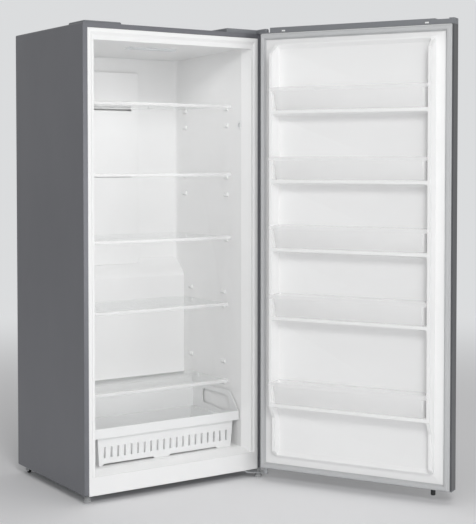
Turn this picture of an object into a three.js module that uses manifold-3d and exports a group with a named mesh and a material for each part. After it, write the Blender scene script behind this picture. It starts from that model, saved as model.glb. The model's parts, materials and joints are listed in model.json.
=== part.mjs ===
// Upright freezer, shown with its door open.
// Millimetres, +Z up, +X to the right of someone who faces the cabinet, +Y towards its back.
// Places are measured from the cabinet's middle plane (x = 0), the face of its front flange (y = 0) and
// the floor (z = 0). The door is drawn closed and then turned about its hinge. The finished group is
// moved so that its origin is the middle of the whole footprint, on the floor.

import * as THREE from 'three';
import { mergeVertices } from 'three/addons/utils/BufferGeometryUtils.js';
import Module from 'manifold-3d';

const wasm = await Module();
wasm.setup();

// ---- Driving dimensions: fits ----

const seat = 0.3; // between pieces that rest on or in each other
const boreClearance = 0.3; // radial, between a pin and its hole
const overrun = 1; // how far a cutting shape passes the face that it leaves

// ---- Driving dimensions: steel case ----

const caseWidth = 833;
const caseDepth = 626;
const caseHeight = 1827;
const groundClearance = 36.4;
const sheet = 1; // steel thickness
const caseCorner = 6; // outside radius of the wrap's two top edges
const frontStrip = 19.6; // folded strip of the wrap, seen from the front
const backInset = 4; // back panel to the wrap's rear edges
const beadReach = 3; // how far the back panel's stiffening beads stand out
const beadWidth = 34;
const beadSpread = 210; // bead to the middle plane
const beadMargin = 60; // bead ends to the panel's ends
const compartmentDepth = 142; // machine compartment, behind its front wall
const compartmentTop = 330;

// ---- Driving dimensions: liner ----

const linerWall = 2;
const sideFlange = 30; // white front flange beside the opening
const topFlange = 45;
const mouthStep = { inset: 15, side: 5, top: 11.5, depth: 6 }; // the flange steps back inside the gasket
const sillTop = 104;
const sillDrop = 5; // how far the sill reaches below the case
const mouthDepth = 50; // length of the flare behind the front flange
const sideFlare = 20; // how much the flare narrows on each side
const ceilingRise = 3; // ceiling above the mouth's upper lip
const floorFlare = 18;
const ceilingFall = 15; // how much lower the ceiling is at the back
const backFoam = 38;
const compartmentFoam = 33; // foam around the machine compartment
const backCorner = 20; // radius of the liner's rear vertical corners

// ---- Driving dimensions: shelves ----

const highShelfDrops = [232, 521, 790]; // shelf tops below the ceiling's front edge
const lowShelfRises = [359, 29]; // shelf tops above the step over the machine compartment
const highSpareDrops = [310, 604]; // other heights at which a shelf can be hung
const lowSpareRises = [414, 113];
const highShelfFront = 125; // front flange to the shelf's trim
const lowShelfFront = 147;
const shelfRearGap = 4; // shelf to the duct or cover behind it
const lowestShelfDepth = 308;
const shelfSideGap = 1;
const glassThickness = 4;
const trimHeight = 13;
const trimDepth = 18;
const trimWall = 5; // front wall of the trim, ahead of the glass
const trimLip = 2; // trim above the glass
const restReach = 7;
const restHeight = 13;
const restLength = 30;
const frontRestSetback = 24; // front rest behind the shelf's front edge
const rearRestInset = 70; // rear rest ahead of the shelf's rear edge

// ---- Driving dimensions: duct, cover, lamp, sensor and door switch ----

const ductReach = 23; // how far the duct stands out of the back wall
const ductHalf = 143;
const ductTaper = 6; // how much narrower its front face is on each side
const ductTopDrop = 65; // duct's top below the ceiling's rear edge
const ductWall = 2;
const ductSlotHalf = 103;
const ductSlotHeight = 7;
const ductSlotDrops = [131, 164, 458]; // slots below the duct's top

const coverReach = 72;
const coverWall = 2.5;
const coverRise = 13; // cover's lower edge above the step
const coverHeight = 448; // straight part of its face
const shoulderRise = 72; // height of the slope above that
const shoulderRound = 9;

const lampWidth = 216;
const lampDepth = 50;
const lampDrop = 7;
const lampSetback = 130; // behind the flare

const sensorPlace = { x: 208, drop: 210 }; // below the ceiling's rear edge
const sensorSize = { width: 20, reach: 12, height: 16 };

const switchPlace = { setback: 8, drop: 318 }; // behind the flare, below the ceiling's front edge
const switchSize = { width: 12, height: 30, reach: 3, pocket: 16 };
const bezelMargin = 3;
const plungerSize = { width: 6, height: 18, reach: 5, base: 3 };

// ---- Driving dimensions: basket ----

const basketWall = 2.5;
const basketSideGap = 6;
const basketRearGap = 20; // to the step over the machine compartment
const basketLipFront = 60; // front flange to the lip's face
const basketShoulder = 114; // heights above the cavity's floor
const basketLipTop = 150;
const basketSideTop = 230;
const basketBackTop = 224;
const basketRiseEnd = 68; // where the slanted side edge ends, behind the lip's face
const tubInset = 16; // tub behind the lip, and ahead of the rim's rear
const tubSideInset = 20;
const tubDraft = 9; // how much the tub narrows towards its floor on each side
const tubFloorRise = 9; // hollow under the tub's floor
const basketSlots = { count: 20, span: 576, width: 9, rise: 30, height: 44 };
const basketArches = [{ centre: -178, width: 240 }, { centre: 127, width: 238 }];
const archHeight = 7;
const basketWindow = [[285, 186], [280, 146], [110, 134], [64, 150], [84, 206], [276, 206]];

// ---- Driving dimensions: cooling ----

const coilWidth = 450;
const coilDepth = 50;
const coilHeight = 190;
const coilRise = 85; // coil above the step
const coilFrontGap = 10; // coil behind the evaporator cover's wall
const coilRows = 5;
const finCount = 16;
const finGroove = 14;
const endPlate = 2.5;
const tubeRadius = 4.5;
const heaterDrop = 26; // heater below the coil
const heaterTail = 14;
const heaterFerrule = 6.5;
const fanRise = 105; // evaporator fan above the coil
const fanRadius = 50;
const fanWidth = 18;
const fanGap = 6; // fan behind the cover's wall
const fanBlades = 5;
const hubRadius = 14;
const shaftRadius = 3;
const motorRadius = 22;
const motorLength = 28;
const motorGap = 3; // motor behind its fan
const motorBar = { half: 60, height: 12 };

// ---- Driving dimensions: machine compartment ----

const basePlate = 2;
const baseOverlap = 22; // how far the base plate reaches under the base pan
const compressorX = 205;
const compressorRadius = 62;
const compressorHeight = 182;
const compressorFeet = { width: 132, depth: 104, radius: 9, height: 8, plate: 3 };
const condenserSize = { width: 88, depth: 112, height: 190, rows: 6 }; // width runs towards the back
const condenserSideGap = 24; // to the case's side
const condenserRise = 8;
const condenserFanX = -206;
const condenserFanRadius = 56;
const condenserFanHeight = 130;
const drainPanWidth = 192;
const drainPanDepth = 112;
const drainPanHeight = 34;
const drainPanWall = 2;
const stubRadius = 6;
const stubLength = 8;
const lineHeight = 268; // discharge line over the fan
const lineRadius = 4;
const louvres = { rows: 9, pitch: 15, height: 5, length: 150, low: 96, spread: 290, hood: 3 };
const glandPlace = { x: 60, z: 84 };
const glandRadius = 8.7;
const glandFlange = 12;
const glandBore = 4;

// ---- Driving dimensions: feet and rollers ----

const footRadius = 16.5;
const footHeight = 24;
const studRadius = 5;
const studLength = 24;
const nutRadius = 9;
const leftFootPlace = { inset: 29, y: 37 };
const rightFootPlace = { inset: 22.5, y: -8 };
const rollerInset = 35.5; // from the case's side
const rollerSetback = 26; // ahead of the back panel's face
const rollerRadius = 15;
const rollerWidth = 12;
const axleRadius = 3;
const cheek = { thickness: 2.5, half: 14, low: 8 };

// ---- Driving dimensions: door ----

const doorThickness = 54;
const gasketDepth = 14; // case flange to the door's inner rim when the door is closed
const doorRise = 15.2; // door's lower edge above the case's
const capRise = 16.6; // top cap above the case's top
const capHeight = 23.3;
const doorSheet = 1;
const doorCorner = 7; // radius of the door's two front upright edges
const doorLip = 10; // folded rear edge of the door's skin
const openAngle = 118.1; // degrees
const hingeInset = 12; // hinge axis from the door's side edge
const hingeSetback = 35; // hinge axis ahead of the door's inner rim

const gasketSideInset = 7.5;
const gasketEndInset = 2;
const gasketWidth = 24;
const gasketTaper = 3;
const gasketSqueeze = 0.5; // left between the closed gasket and the flange

const doorLinerWall = 2;
const ribSideGap = 21.9; // door's rib to the side of the cabinet's mouth
const ribWidth = 18;
const ribDraft = 5; // how much the recess widens towards the rib's crest
const ribReach = 58;
const lowRibReach = 28;
const ribSlope = 50; // height over which the rib rises below the lowest ledge
const ridgeReach = 12; // how far the top and bottom edges of the frame stand out
const ridgeHeight = 22;
const frameCorner = 12; // radius of the frame's outline
const recessCorner = 10; // fillets in the upper corners of its recesses
const frameLowGap = 9; // frame above the sill
const frameHighInset = 33; // frame below the case's front strip
const ribTopGap = 8; // ribs below the mouth's upper lip
const ribTopSlope = 24; // height over which they fall to their lower reach
const ledgeHeight = 14;
const lowestLedgeRise = 225; // lowest ledge's top above the frame's lower edge
const highLedgeDrops = [1114.3, 832.8, 554.3, 273.3]; // the others' below its upper edge

const binHeight = 92;
const binWall = 2.5;
const binSideGap = 4; // bin to the rib's foot
const binEndDraft = 4;
const binRearGap = 4;
const binLowReach = 56;
const binHighReach = 76;
const binLip = { overlap: 9, depth: 12, height: 16 };

const capWall = 3;
const capRecess = 47.5; // length of the hinge recess in the top cap
const capFloor = 4; // cap thickness under that recess
const blankRecess = { inset: 20.5, width: 56, depth: 4 }; // inset from the door's free side
const spigotLength = 14; // caps into the door's skin
const capPlug = { inset: 109.5, width: 15, height: 6, reach: 1.6, drop: 15, neck: 2 };
const bottomRim = 4;
const bushRadius = 8.7;
const bushFlangeRadius = 11;
const bushFlange = 1.5;
const bushLength = 17;
const bossWall = 3;
const pinRadius = 5;
const peg = { inset: 83.5, radius: 9.5, length: 26.7, stud: 4, studLength: 12 };

// ---- Driving dimensions: hinges ----

const hingePlate = 4;
const armHalf = 8; // half of the width of the hinge's arm
const topPinLength = 19;
const topPlateWidth = 65;
const topPlateFront = 20;
const topPlateBack = 120;
const noseRadius = 11.5; // of the cover's nose and the lower bracket's
const hingeCover = { inset: 171.5, front: 5, back: 150, wall: 2, height: 16.3, edge: 4 };
const blankCover = { inset: 16.5, width: 164, front: 20, back: 160, wall: 2, height: 9.6, edge: 3 };
const bottomPlateDrop = 12.1; // its front part below the part under the case
const bottomPlateWidth = 86;
const bottomPlateBack = 90;
const collarRadius = 8.5;

// ---- Sizes that follow: cabinet ----

const caseHalf = caseWidth / 2;
const caseTop = groundClearance + caseHeight;
const backFace = caseDepth - backInset;
const insideHalf = caseHalf - sheet - seat;
const insideTop = caseTop - sheet - seat;
const flangeHalf = caseHalf - frontStrip - seat;
const flangeTop = caseTop - frontStrip - seat;
const mouthHalf = caseHalf - frontStrip - sideFlange;
const mouthTop = caseTop - frontStrip - topFlange;
const cavityHalf = mouthHalf - sideFlare;
const cavityFloor = sillTop + floorFlare;
const ceilingFront = mouthTop + ceilingRise;
const ceilingBack = ceilingFront - ceilingFall;
const backWall = backFace - sheet - backFoam;
const compartmentFront = backFace - compartmentDepth;
const compartmentMiddle = (compartmentFront + backFace) / 2;
const stepFront = compartmentFront - compartmentFoam - linerWall;
const stepTop = compartmentTop + compartmentFoam + linerWall;
const linerBack = backWall - seat; // where a piece rests on the back wall
const plateTop = groundClearance - seat; // of the base plate, under the case's lower edges
const ductFront = backWall - ductReach;
const ductTop = ceilingBack - ductTopDrop;
const coverFront = backWall - coverReach;
const coverBottom = stepTop + coverRise;
const shoulderLow = coverBottom + coverHeight;

// ---- Sizes that follow: door ----

const doorHalf = caseHalf;
const doorRim = -gasketDepth;
const doorFace = doorRim - doorThickness;
const doorBottom = groundClearance + doorRise;
const capTop = caseTop + capRise;
const capBottom = capTop - capHeight;
const skinBottom = doorBottom + bottomRim + seat;
const skinTop = capBottom - seat;
const doorBack = doorRim - doorLinerWall - seat; // what lies behind the door liner's flange
const frameHalf = mouthHalf - ribSideGap;
const recessHalf = frameHalf - ribWidth;
const frameLow = sillTop + frameLowGap;
const frameHigh = caseTop - frontStrip - frameHighInset;
const ribTop = mouthTop - ribTopGap;
const blankRecessLeft = blankRecess.inset - doorHalf;
const pegX = peg.inset - doorHalf;
const ledges = [frameLow + lowestLedgeRise, ...highLedgeDrops.map((drop) => frameHigh - drop)];
const hinge = { x: doorHalf - hingeInset, y: doorRim - hingeSetback };
const recessFloor = capBottom + capFloor;
const topPlateLow = caseTop + seat;

// ---- Solids ----

/** A closed geometry as a solid that can be joined and cut. */
function solid(geometry) {
  const bare = geometry.clone();
  bare.deleteAttribute('normal');
  bare.deleteAttribute('uv');
  const merged = mergeVertices(bare, 1e-4);
  const places = merged.attributes.position.array;
  const corners = [];
  let volume = 0;
  for (let i = 0; i < merged.index.count; i += 3) {
    const triangle = [...merged.index.array.slice(i, i + 3)];
    if (new Set(triangle).size < 3) continue; // a flat triangle at a pole
    corners.push(...triangle);
    const [a, b, c] = triangle.map((vertex) => new THREE.Vector3().fromArray(places, 3 * vertex));
    volume += a.dot(b.cross(c));
  }
  if (volume < 0) corners.reverse(); // faces point out, whichever way the outline ran
  return new wasm.Manifold(new wasm.Mesh({
    numProp: 3,
    vertProperties: new Float32Array(places),
    triVerts: new Uint32Array(corners),
  }));
}

/** A finished solid as a geometry for its mesh. */
function geometryOf(body) {
  const { vertProperties, triVerts } = body.getMesh();
  const geometry = new THREE.BufferGeometry();
  geometry.setAttribute('position', new THREE.BufferAttribute(vertProperties, 3));
  geometry.setIndex(new THREE.BufferAttribute(triVerts, 1));
  geometry.computeVertexNormals();
  return geometry;
}

const join = (...bodies) => bodies.reduce((sum, body) => sum.add(body));
const cut = (body, ...tools) => tools.reduce((rest, tool) => rest.subtract(tool), body);
const common = (...bodies) => bodies.reduce((rest, body) => rest.intersect(body));

function block(x0, x1, y0, y1, z0, z1) {
  const geometry = new THREE.BoxGeometry(x1 - x0, y1 - y0, z1 - z0);
  return solid(geometry.translate((x0 + x1) / 2, (y0 + y1) / 2, (z0 + z1) / 2));
}

function extruded(loop, length) {
  const shape = new THREE.Shape(loop.map(([u, v]) => new THREE.Vector2(u, v)));
  return new THREE.ExtrudeGeometry(shape, { depth: length, bevelEnabled: false });
}

const axisX = new THREE.Vector3(1, 0, 0);
const axisY = new THREE.Vector3(0, 1, 0);
const axisZ = new THREE.Vector3(0, 0, 1);
const forwards = new THREE.Vector3(0, -1, 0);

/** A (y, z) loop carried along X. */
function prismX(loop, x0, x1) {
  const geometry = extruded(loop, x1 - x0);
  geometry.applyMatrix4(new THREE.Matrix4().makeBasis(axisY, axisZ, axisX));
  return solid(geometry.translate(x0, 0, 0));
}

/** An (x, z) loop carried along Y. */
function prismY(loop, y0, y1) {
  const geometry = extruded(loop, y1 - y0);
  geometry.applyMatrix4(new THREE.Matrix4().makeBasis(axisX, axisZ, forwards));
  return solid(geometry.translate(0, y1, 0));
}

/** An (x, y) loop carried along Z. */
function prismZ(loop, z0, z1) {
  return solid(extruded(loop, z1 - z0).translate(0, 0, z0));
}

/** A skin over convex loops of equally many points, closed at both ends. */
function loft(...sections) {
  const count = sections[0].length;
  const corners = [];
  for (let s = 0; s + 1 < sections.length; s += 1) {
    for (let i = 0; i < count; i += 1) {
      const [a, b] = [s * count + i, s * count + ((i + 1) % count)];
      corners.push(a, b, b + count, a, b + count, a + count);
    }
  }
  const last = (sections.length - 1) * count;
  for (let i = 1; i + 1 < count; i += 1) {
    corners.push(0, i + 1, i, last, last + i, last + i + 1);
  }
  const geometry = new THREE.BufferGeometry();
  geometry.setAttribute('position', new THREE.Float32BufferAttribute(sections.flat(2), 3));
  geometry.setIndex(corners);
  return solid(geometry);
}

const upright = [0, 0, 0];
const alongX = [0, Math.PI / 2, 0];
const backwards = [-Math.PI / 2, 0, 0]; // an upright axis laid along +Y

/** A profile of [radius, height] points turned about an axis through a place. */
function turned(profile, at = [0, 0, 0], lean = upright, segments = 20) {
  const points = profile.map(([radius, height]) => new THREE.Vector2(radius, height));
  const geometry = new THREE.LatheGeometry(points, segments).rotateX(Math.PI / 2);
  const pose = new THREE.Matrix4().makeRotationFromEuler(new THREE.Euler(...lean)).setPosition(...at);
  return solid(geometry.applyMatrix4(pose));
}

/** A round bar between two heights of its own axis. */
function bar(radius, from, to, at, lean, segments) {
  return turned([[0, from], [radius, from], [radius, to], [0, to]], at, lean, segments);
}

/** A round tube, filled, along a route of points. */
function rod(route, radius, steps, sides = 8) {
  const ring = new THREE.Shape().absarc(0, 0, radius, 0, 2 * Math.PI);
  const points = route.map((point) => new THREE.Vector3(...point));
  const line = new THREE.CatmullRomCurve3(points, false, 'centripetal');
  return solid(new THREE.ExtrudeGeometry(ring, { extrudePath: line, steps, curveSegments: sides / 2 }));
}

const rectangle = (u0, u1, v0, v1) => [[u0, v0], [u1, v0], [u1, v1], [u0, v1]];
const atY = (loop, y) => loop.map(([x, z]) => [x, y, z]);
const atZ = (loop, z) => loop.map(([x, y]) => [x, y, z]);
const oneOf = (count) => Array.from({ length: count }, (_, i) => i);

/** A rectangle with rounded corners, counter-clockwise from its lower right. */
function roundedLoop(u0, u1, v0, v1, radius, steps = 4) {
  const centres = [[u1 - radius, v0 + radius], [u1 - radius, v1 - radius],
    [u0 + radius, v1 - radius], [u0 + radius, v0 + radius]];
  return centres.flatMap(([u, v], corner) => oneOf(steps + 1).map((i) => {
    const angle = (Math.PI / 2) * (corner - 1 + i / steps);
    return [u + radius * Math.cos(angle), v + radius * Math.sin(angle)];
  }));
}

/** Where the sides of a counter-clockwise loop meet when each is moved outwards by a distance. */
function offsetLoop(loop, distance) {
  const count = loop.length;
  const outward = (i) => {
    const [p, q] = [loop[i % count], loop[(i + 1) % count]];
    const length = Math.hypot(q[0] - p[0], q[1] - p[1]);
    return [(q[1] - p[1]) / length, (p[0] - q[0]) / length];
  };
  return loop.map((corner, i) => {
    const [a, b] = [outward(i + count - 1), outward(i)];
    const spread = 1 + a[0] * b[0] + a[1] * b[1];
    return [0, 1].map((k) => corner[k] + (distance * (a[k] + b[k])) / spread);
  });
}

/** The section of a bent sheet: a line and the same line moved to its left by the sheet's thickness. */
function sheetLoop(line, thickness) {
  const left = (i) => {
    const [p, q] = [line[i], line[i + 1]];
    const length = Math.hypot(q[0] - p[0], q[1] - p[1]);
    return [(p[1] - q[1]) / length, (q[0] - p[0]) / length];
  };
  const raised = line.map((point, i) => {
    const a = left(Math.max(i - 1, 0));
    const b = left(Math.min(i, line.length - 2));
    const spread = 1 + a[0] * b[0] + a[1] * b[1];
    return [0, 1].map((k) => point[k] + (thickness * (a[k] + b[k])) / spread);
  });
  return [...line, ...raised.reverse()];
}

// ---- Finishes ----

function finish(color, roughness, metalness = 0) {
  return new THREE.MeshStandardMaterial({ color, roughness, metalness });
}

const caseGrey = finish(0x66676b, 0.45, 0.3);
const doorGrey = finish(0x7f8285, 0.4, 0.4);
const capGrey = finish(0x808386, 0.55);
const white = finish(0xe6e8e8, 0.45);
const innerWhite = finish(0xeceeee, 0.5);
const clearWhite = finish(0xe4e8ea, 0.2);
const glass = finish(0xdfe9e8, 0.08);
const gasketGrey = finish(0xb7b9bb, 0.7);
const zinc = finish(0xb4b7ba, 0.35, 0.9);
const aluminium = finish(0xc3c6c8, 0.35, 0.9);
const copper = finish(0xb06a45, 0.35, 0.9);
const black = finish(0x1d1e20, 0.5);
const footGrey = finish(0x8f9194, 0.6);
const foam = finish(0xe9dcb4, 0.9);

// ---- Assembly ----

const freezer = new THREE.Group();
const doorSwing = new THREE.Group();
const door = new THREE.Group();
freezer.add(doorSwing);
doorSwing.add(door);
doorSwing.position.set(hinge.x, hinge.y, 0);
doorSwing.rotation.z = THREE.MathUtils.degToRad(openAngle);
door.position.set(-hinge.x, -hinge.y, 0);

function place(group, name, body, material, at = [0, 0, 0], lean = upright) {
  const mesh = new THREE.Mesh(geometryOf(body), material);
  mesh.name = name;
  mesh.position.set(...at);
  mesh.rotation.set(...lean);
  group.add(mesh);
}

const sides = [['left', -1], ['right', 1]];

// ---- Steel wrap, back panel and base pan ----

const leftFootX = leftFootPlace.inset - caseHalf;
const rightFootX = caseHalf - rightFootPlace.inset;

/** The wrap's outline, moved inwards by an inset and left open below. */
function wrapOutline(inset, low) {
  const half = caseHalf - inset;
  const rounded = roundedLoop(-half, half, low, caseTop - inset, Math.max(caseCorner - inset, sheet));
  const corner = rounded.length / 4;
  return [[half, low], ...rounded.slice(corner, 3 * corner), [-half, low]];
}

function outerCase() {
  const below = groundClearance - overrun;
  const doorway = rectangle(frontStrip - caseHalf, caseHalf - frontStrip, below, caseTop - frontStrip);
  return cut(
    prismY(wrapOutline(0, groundClearance), 0, caseDepth),
    prismY(wrapOutline(sheet, below), sheet, caseDepth + overrun),
    prismY(doorway, -overrun, sheet + overrun),
  );
}

function backPanel() {
  const panel = prismY(wrapOutline(sheet + seat, compartmentTop), backFace - sheet, backFace);
  const beads = [-beadSpread, beadSpread].map((x) => {
    const base = rectangle(
      x - beadWidth / 2, x + beadWidth / 2, compartmentTop + beadMargin, insideTop - beadMargin,
    );
    const crest = offsetLoop(base, -beadReach);
    return loft(atY(base, backFace - sheet / 2), atY(crest, backFace + beadReach));
  });
  return join(panel, ...beads);
}

function basePan() {
  const front = linerWall + seat;
  const line = [
    [front, groundClearance], [compartmentFront, groundClearance],
    [compartmentFront, compartmentTop], [backFace - sheet - seat, compartmentTop],
  ];
  const at = [leftFootX, leftFootPlace.y, groundClearance];
  const nutDrop = -(groundClearance - footHeight) / 2;
  return cut(
    join(prismX(sheetLoop(line, sheet), -insideHalf, insideHalf), bar(nutRadius, nutDrop, sheet / 2, at)),
    bar(studRadius + boreClearance, nutDrop - overrun, sheet + overrun, at),
  );
}

// ---- Liner and insulation ----

const cavityProfile = [
  [mouthDepth, cavityFloor], [stepFront, cavityFloor], [stepFront, stepTop],
  [backWall, stepTop], [backWall, ceilingBack], [mouthDepth, ceilingFront],
];

function ceilingAt(y) {
  return ceilingFront - (ceilingFall * (y - mouthDepth)) / (backWall - mouthDepth);
}

/** The inside of the liner, grown on all sides by a wall's thickness. */
function cavityForm(growth) {
  const half = cavityHalf + growth;
  const plan = roundedLoop(-half, half, -mouthDepth, backWall + growth, backCorner + growth);
  const body = common(prismX(offsetLoop(cavityProfile, growth), -half, half), prismZ(plan, 0, caseTop));
  const front = rectangle(-mouthHalf - growth, mouthHalf + growth, sillTop - growth, mouthTop + growth);
  const back = rectangle(-half, half, cavityFloor - growth, ceilingFront + growth);
  return join(body, loft(atY(front, mouthStep.depth), atY(back, mouthDepth)));
}

const stepHalf = flangeHalf - mouthStep.inset;
const stepHigh = flangeTop - mouthStep.inset;

/** The room inside the flange's step, grown on all sides by a wall's thickness. */
function stepForm(growth) {
  const { side, top, depth } = mouthStep;
  const [half, low, high] = [stepHalf + growth, sillTop - growth, stepHigh + growth];
  const back = rectangle(side - half, half - side, low, high - top);
  return loft(atY(rectangle(-half, half, low, high), 0), atY(back, depth + growth));
}

/** A small moulded rest on a side wall, with a slanted underside. */
function shelfRest(side, y, top) {
  const [wall, tip] = [side * (cavityHalf + linerWall / 2), side * (cavityHalf - restReach)];
  const low = top - restHeight;
  return prismY([[wall, low - restReach], [wall, top], [tip, top], [tip, low]], y, y + restLength);
}

const highShelfRear = ductFront - shelfRearGap;
const lowShelfRear = coverFront - shelfRearGap;
const shelves = [
  ...highShelfDrops.map((drop) => (
    { top: ceilingFront - drop, front: highShelfFront, rear: highShelfRear })),
  { top: stepTop + lowShelfRises[0], front: lowShelfFront, rear: lowShelfRear },
  { top: stepTop + lowShelfRises[1], front: lowShelfFront, rear: lowShelfFront + lowestShelfDepth },
];
const glassTop = (shelf) => shelf.top - trimLip - seat;
const glassLow = (shelf) => glassTop(shelf) - glassThickness;

function shelfRests() {
  const hung = shelves.map((shelf) => ({ ...shelf, top: glassLow(shelf) - seat }));
  const spare = [
    ...highSpareDrops.map((drop) => (
      { top: ceilingFront - drop, front: highShelfFront, rear: highShelfRear })),
    ...lowSpareRises.map((rise) => ({ top: stepTop + rise, front: lowShelfFront, rear: lowShelfRear })),
  ];
  return [...hung, ...spare].flatMap(({ top, front, rear }) => [-1, 1].flatMap((side) => [
    shelfRest(side, front + frontRestSetback, top),
    shelfRest(side, rear - rearRestInset, top),
  ]));
}

const switchAt = { y: mouthDepth + switchPlace.setback, z: ceilingFront - switchPlace.drop };

/** A block through the right wall at the door switch. */
function switchBlock(x0, x1, width, height) {
  return block(
    x0, x1, switchAt.y - width / 2, switchAt.y + width / 2,
    switchAt.z - height / 2, switchAt.z + height / 2,
  );
}

function liner() {
  const flange = block(-flangeHalf, flangeHalf, 0, linerWall, groundClearance - sillDrop, flangeTop);
  const doorway = rectangle(-stepHalf, stepHalf, sillTop, stepHigh);
  const shell = cut(
    join(flange, stepForm(linerWall), cavityForm(linerWall)),
    cavityForm(0),
    stepForm(0),
    prismY(doorway, -overrun, sheet / 100),
  );
  const { width, height } = switchSize;
  const opening = switchBlock(
    cavityHalf - linerWall, cavityHalf + 2 * linerWall, width + 2 * seat, height + 2 * seat,
  );
  return cut(join(shell, ...shelfRests()), opening);
}

function insulation() {
  const [front, back] = [linerWall + seat, backFace - sheet - seat];
  const low = groundClearance + sheet + seat;
  const behindStep = compartmentFront - sheet - seat;
  const aboveStep = compartmentTop + sheet + seat;
  const profile = [
    [front, low], [behindStep, low], [behindStep, aboveStep],
    [back, aboveStep], [back, insideTop], [front, insideTop],
  ];
  const body = common(
    prismX(profile, -insideHalf, insideHalf),
    prismY(wrapOutline(sheet + seat, low), front, back),
  );
  const studRoom = bar(studRadius + 2, 0, studLength, [leftFootX, leftFootPlace.y, footHeight]);
  const { width, height, pocket } = switchSize;
  const switchRoom = switchBlock(cavityHalf, cavityHalf + pocket + 2 * seat, width + 2, height + 2);
  return cut(body, cavityForm(linerWall + seat), stepForm(linerWall + seat), studRoom, switchRoom);
}

// ---- Duct, evaporator cover, lamp, sensor and door switch ----

/** Height of the evaporator cover's slope at a depth. */
const slopeAt = (y) => shoulderLow + (shoulderRise * (y - coverFront)) / coverReach;

function ductCover() {
  const plan = (inset, rear) => [
    [inset - ductHalf, rear], [ductTaper + inset - ductHalf, ductFront + inset],
    [ductHalf - ductTaper - inset, ductFront + inset], [ductHalf - inset, rear],
  ];
  const low = slopeAt(ductFront);
  const shell = cut(
    prismZ(plan(0, linerBack), low, ductTop),
    prismZ(plan(ductWall, linerBack + overrun), low - overrun, ductTop - ductWall),
  );
  const [front, back] = [ductFront - overrun, linerBack + overrun];
  const slope = [
    [front, low - overrun], [back, low - overrun], [back, slopeAt(back) + 2 * seat],
    [front, slopeAt(front) + 2 * seat],
  ];
  const slots = ductSlotDrops.map((drop) => block(
    -ductSlotHalf, ductSlotHalf, front, ductFront + ductWall + overrun,
    ductTop - drop - ductSlotHeight / 2, ductTop - drop + ductSlotHeight / 2,
  ));
  return cut(shell, prismX(slope, -ductHalf - overrun, ductHalf + overrun), ...slots);
}

function evaporatorCover() {
  const half = cavityHalf - seat;
  const round = shoulderRound / 4;
  const face = [
    [coverFront, coverBottom], [linerBack, coverBottom], [linerBack, slopeAt(linerBack)],
    [coverFront + shoulderRound, slopeAt(coverFront + shoulderRound)],
    [coverFront + round, shoulderLow - round], [coverFront, shoulderLow - shoulderRound],
  ];
  const inside = offsetLoop(face, -coverWall);
  const open = linerBack + overrun;
  inside[0] = [coverFront + coverWall, coverBottom - overrun];
  inside[1] = [open, coverBottom - overrun];
  inside[2] = [open, slopeAt(linerBack) - 2 * coverWall];
  const plan = (inset) => roundedLoop(
    inset - half, half - inset, 0, linerBack - inset, backCorner - inset,
  );
  const straight = half - backCorner;
  const hollow = join(
    prismZ(plan(coverWall), 0, caseTop),
    block(-straight, straight, coverFront, open, 0, caseTop),
  );
  return cut(
    common(prismX(face, -half, half), prismZ(plan(0), 0, caseTop)),
    common(prismX(inside, -half, half), hollow),
  );
}

function lampCover() {
  const front = mouthDepth + lampSetback;
  const back = front + lampDepth;
  const low = ceilingAt(front) - lampDrop;
  const round = lampDrop / 3;
  const loop = [
    [front + round, low], [back - round, low], [back, low + round], [back, ceilingAt(back) - seat],
    [front, ceilingAt(front) - seat], [front, low + round],
  ];
  return prismX(loop, -lampWidth / 2, lampWidth / 2);
}

function sensor() {
  const { width, reach, height } = sensorSize;
  const z = ceilingBack - sensorPlace.drop;
  const base = rectangle(
    sensorPlace.x - width / 2, sensorPlace.x + width / 2, z - height / 2, z + height / 2,
  );
  const tip = offsetLoop(base, -reach / 4);
  return loft(atY(tip, linerBack - reach), atY(base, linerBack - reach / 2), atY(base, linerBack));
}

function switchHousing() {
  const { width, height, reach, pocket } = switchSize;
  const front = cavityHalf - reach;
  const bezel = switchBlock(front, cavityHalf - seat, width + 2 * bezelMargin, height + 2 * bezelMargin);
  const body = switchBlock(front, cavityHalf + pocket, width, height);
  const room = switchBlock(
    front - overrun, cavityHalf + pocket - bezelMargin,
    plungerSize.width + 2 * seat, plungerSize.height + 2 * seat,
  );
  return cut(join(bezel, body), room);
}

function switchPlunger() {
  const { width, height, reach, base } = plungerSize;
  const tip = cavityHalf - switchSize.reach - reach;
  const [low, high] = [switchAt.z - height / 2, switchAt.z + height / 2];
  const loop = [
    [tip, low + reach], [tip + reach / 2, low], [cavityHalf + base, low],
    [cavityHalf + base, high], [tip + reach / 2, high], [tip, high - reach],
  ];
  return prismY(loop, switchAt.y - width / 2, switchAt.y + width / 2);
}

// ---- Shelves ----

function shelfGlass(shelf) {
  const half = cavityHalf - shelfSideGap;
  const front = shelf.front + trimWall + seat;
  return block(-half, half, front, shelf.rear, glassLow(shelf), glassTop(shelf));
}

/** A moulded strip that grips the front edge of the glass. */
function shelfTrim(shelf) {
  const half = cavityHalf - shelfSideGap;
  const { front, top } = shelf;
  const round = trimLip;
  const outline = [
    [front + round, top - trimHeight], [front + trimDepth, top - trimHeight],
    [front + trimDepth, top], [front + round, top],
    [front, top - round], [front, top - trimHeight + round],
  ];
  const channel = block(
    -half - overrun, half + overrun, front + trimWall, front + trimDepth + overrun,
    glassLow(shelf) - seat, glassTop(shelf) + seat,
  );
  const relief = block(
    -half - overrun, half + overrun, front + trimWall + trimLip, front + trimDepth + overrun,
    top - trimHeight - overrun, glassLow(shelf) - seat - trimLip,
  );
  return cut(prismX(outline, -half, half), channel, relief);
}

// ---- Basket ----

const basketHalf = cavityHalf - basketSideGap;
const basketBack = stepFront - basketRearGap;

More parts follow.
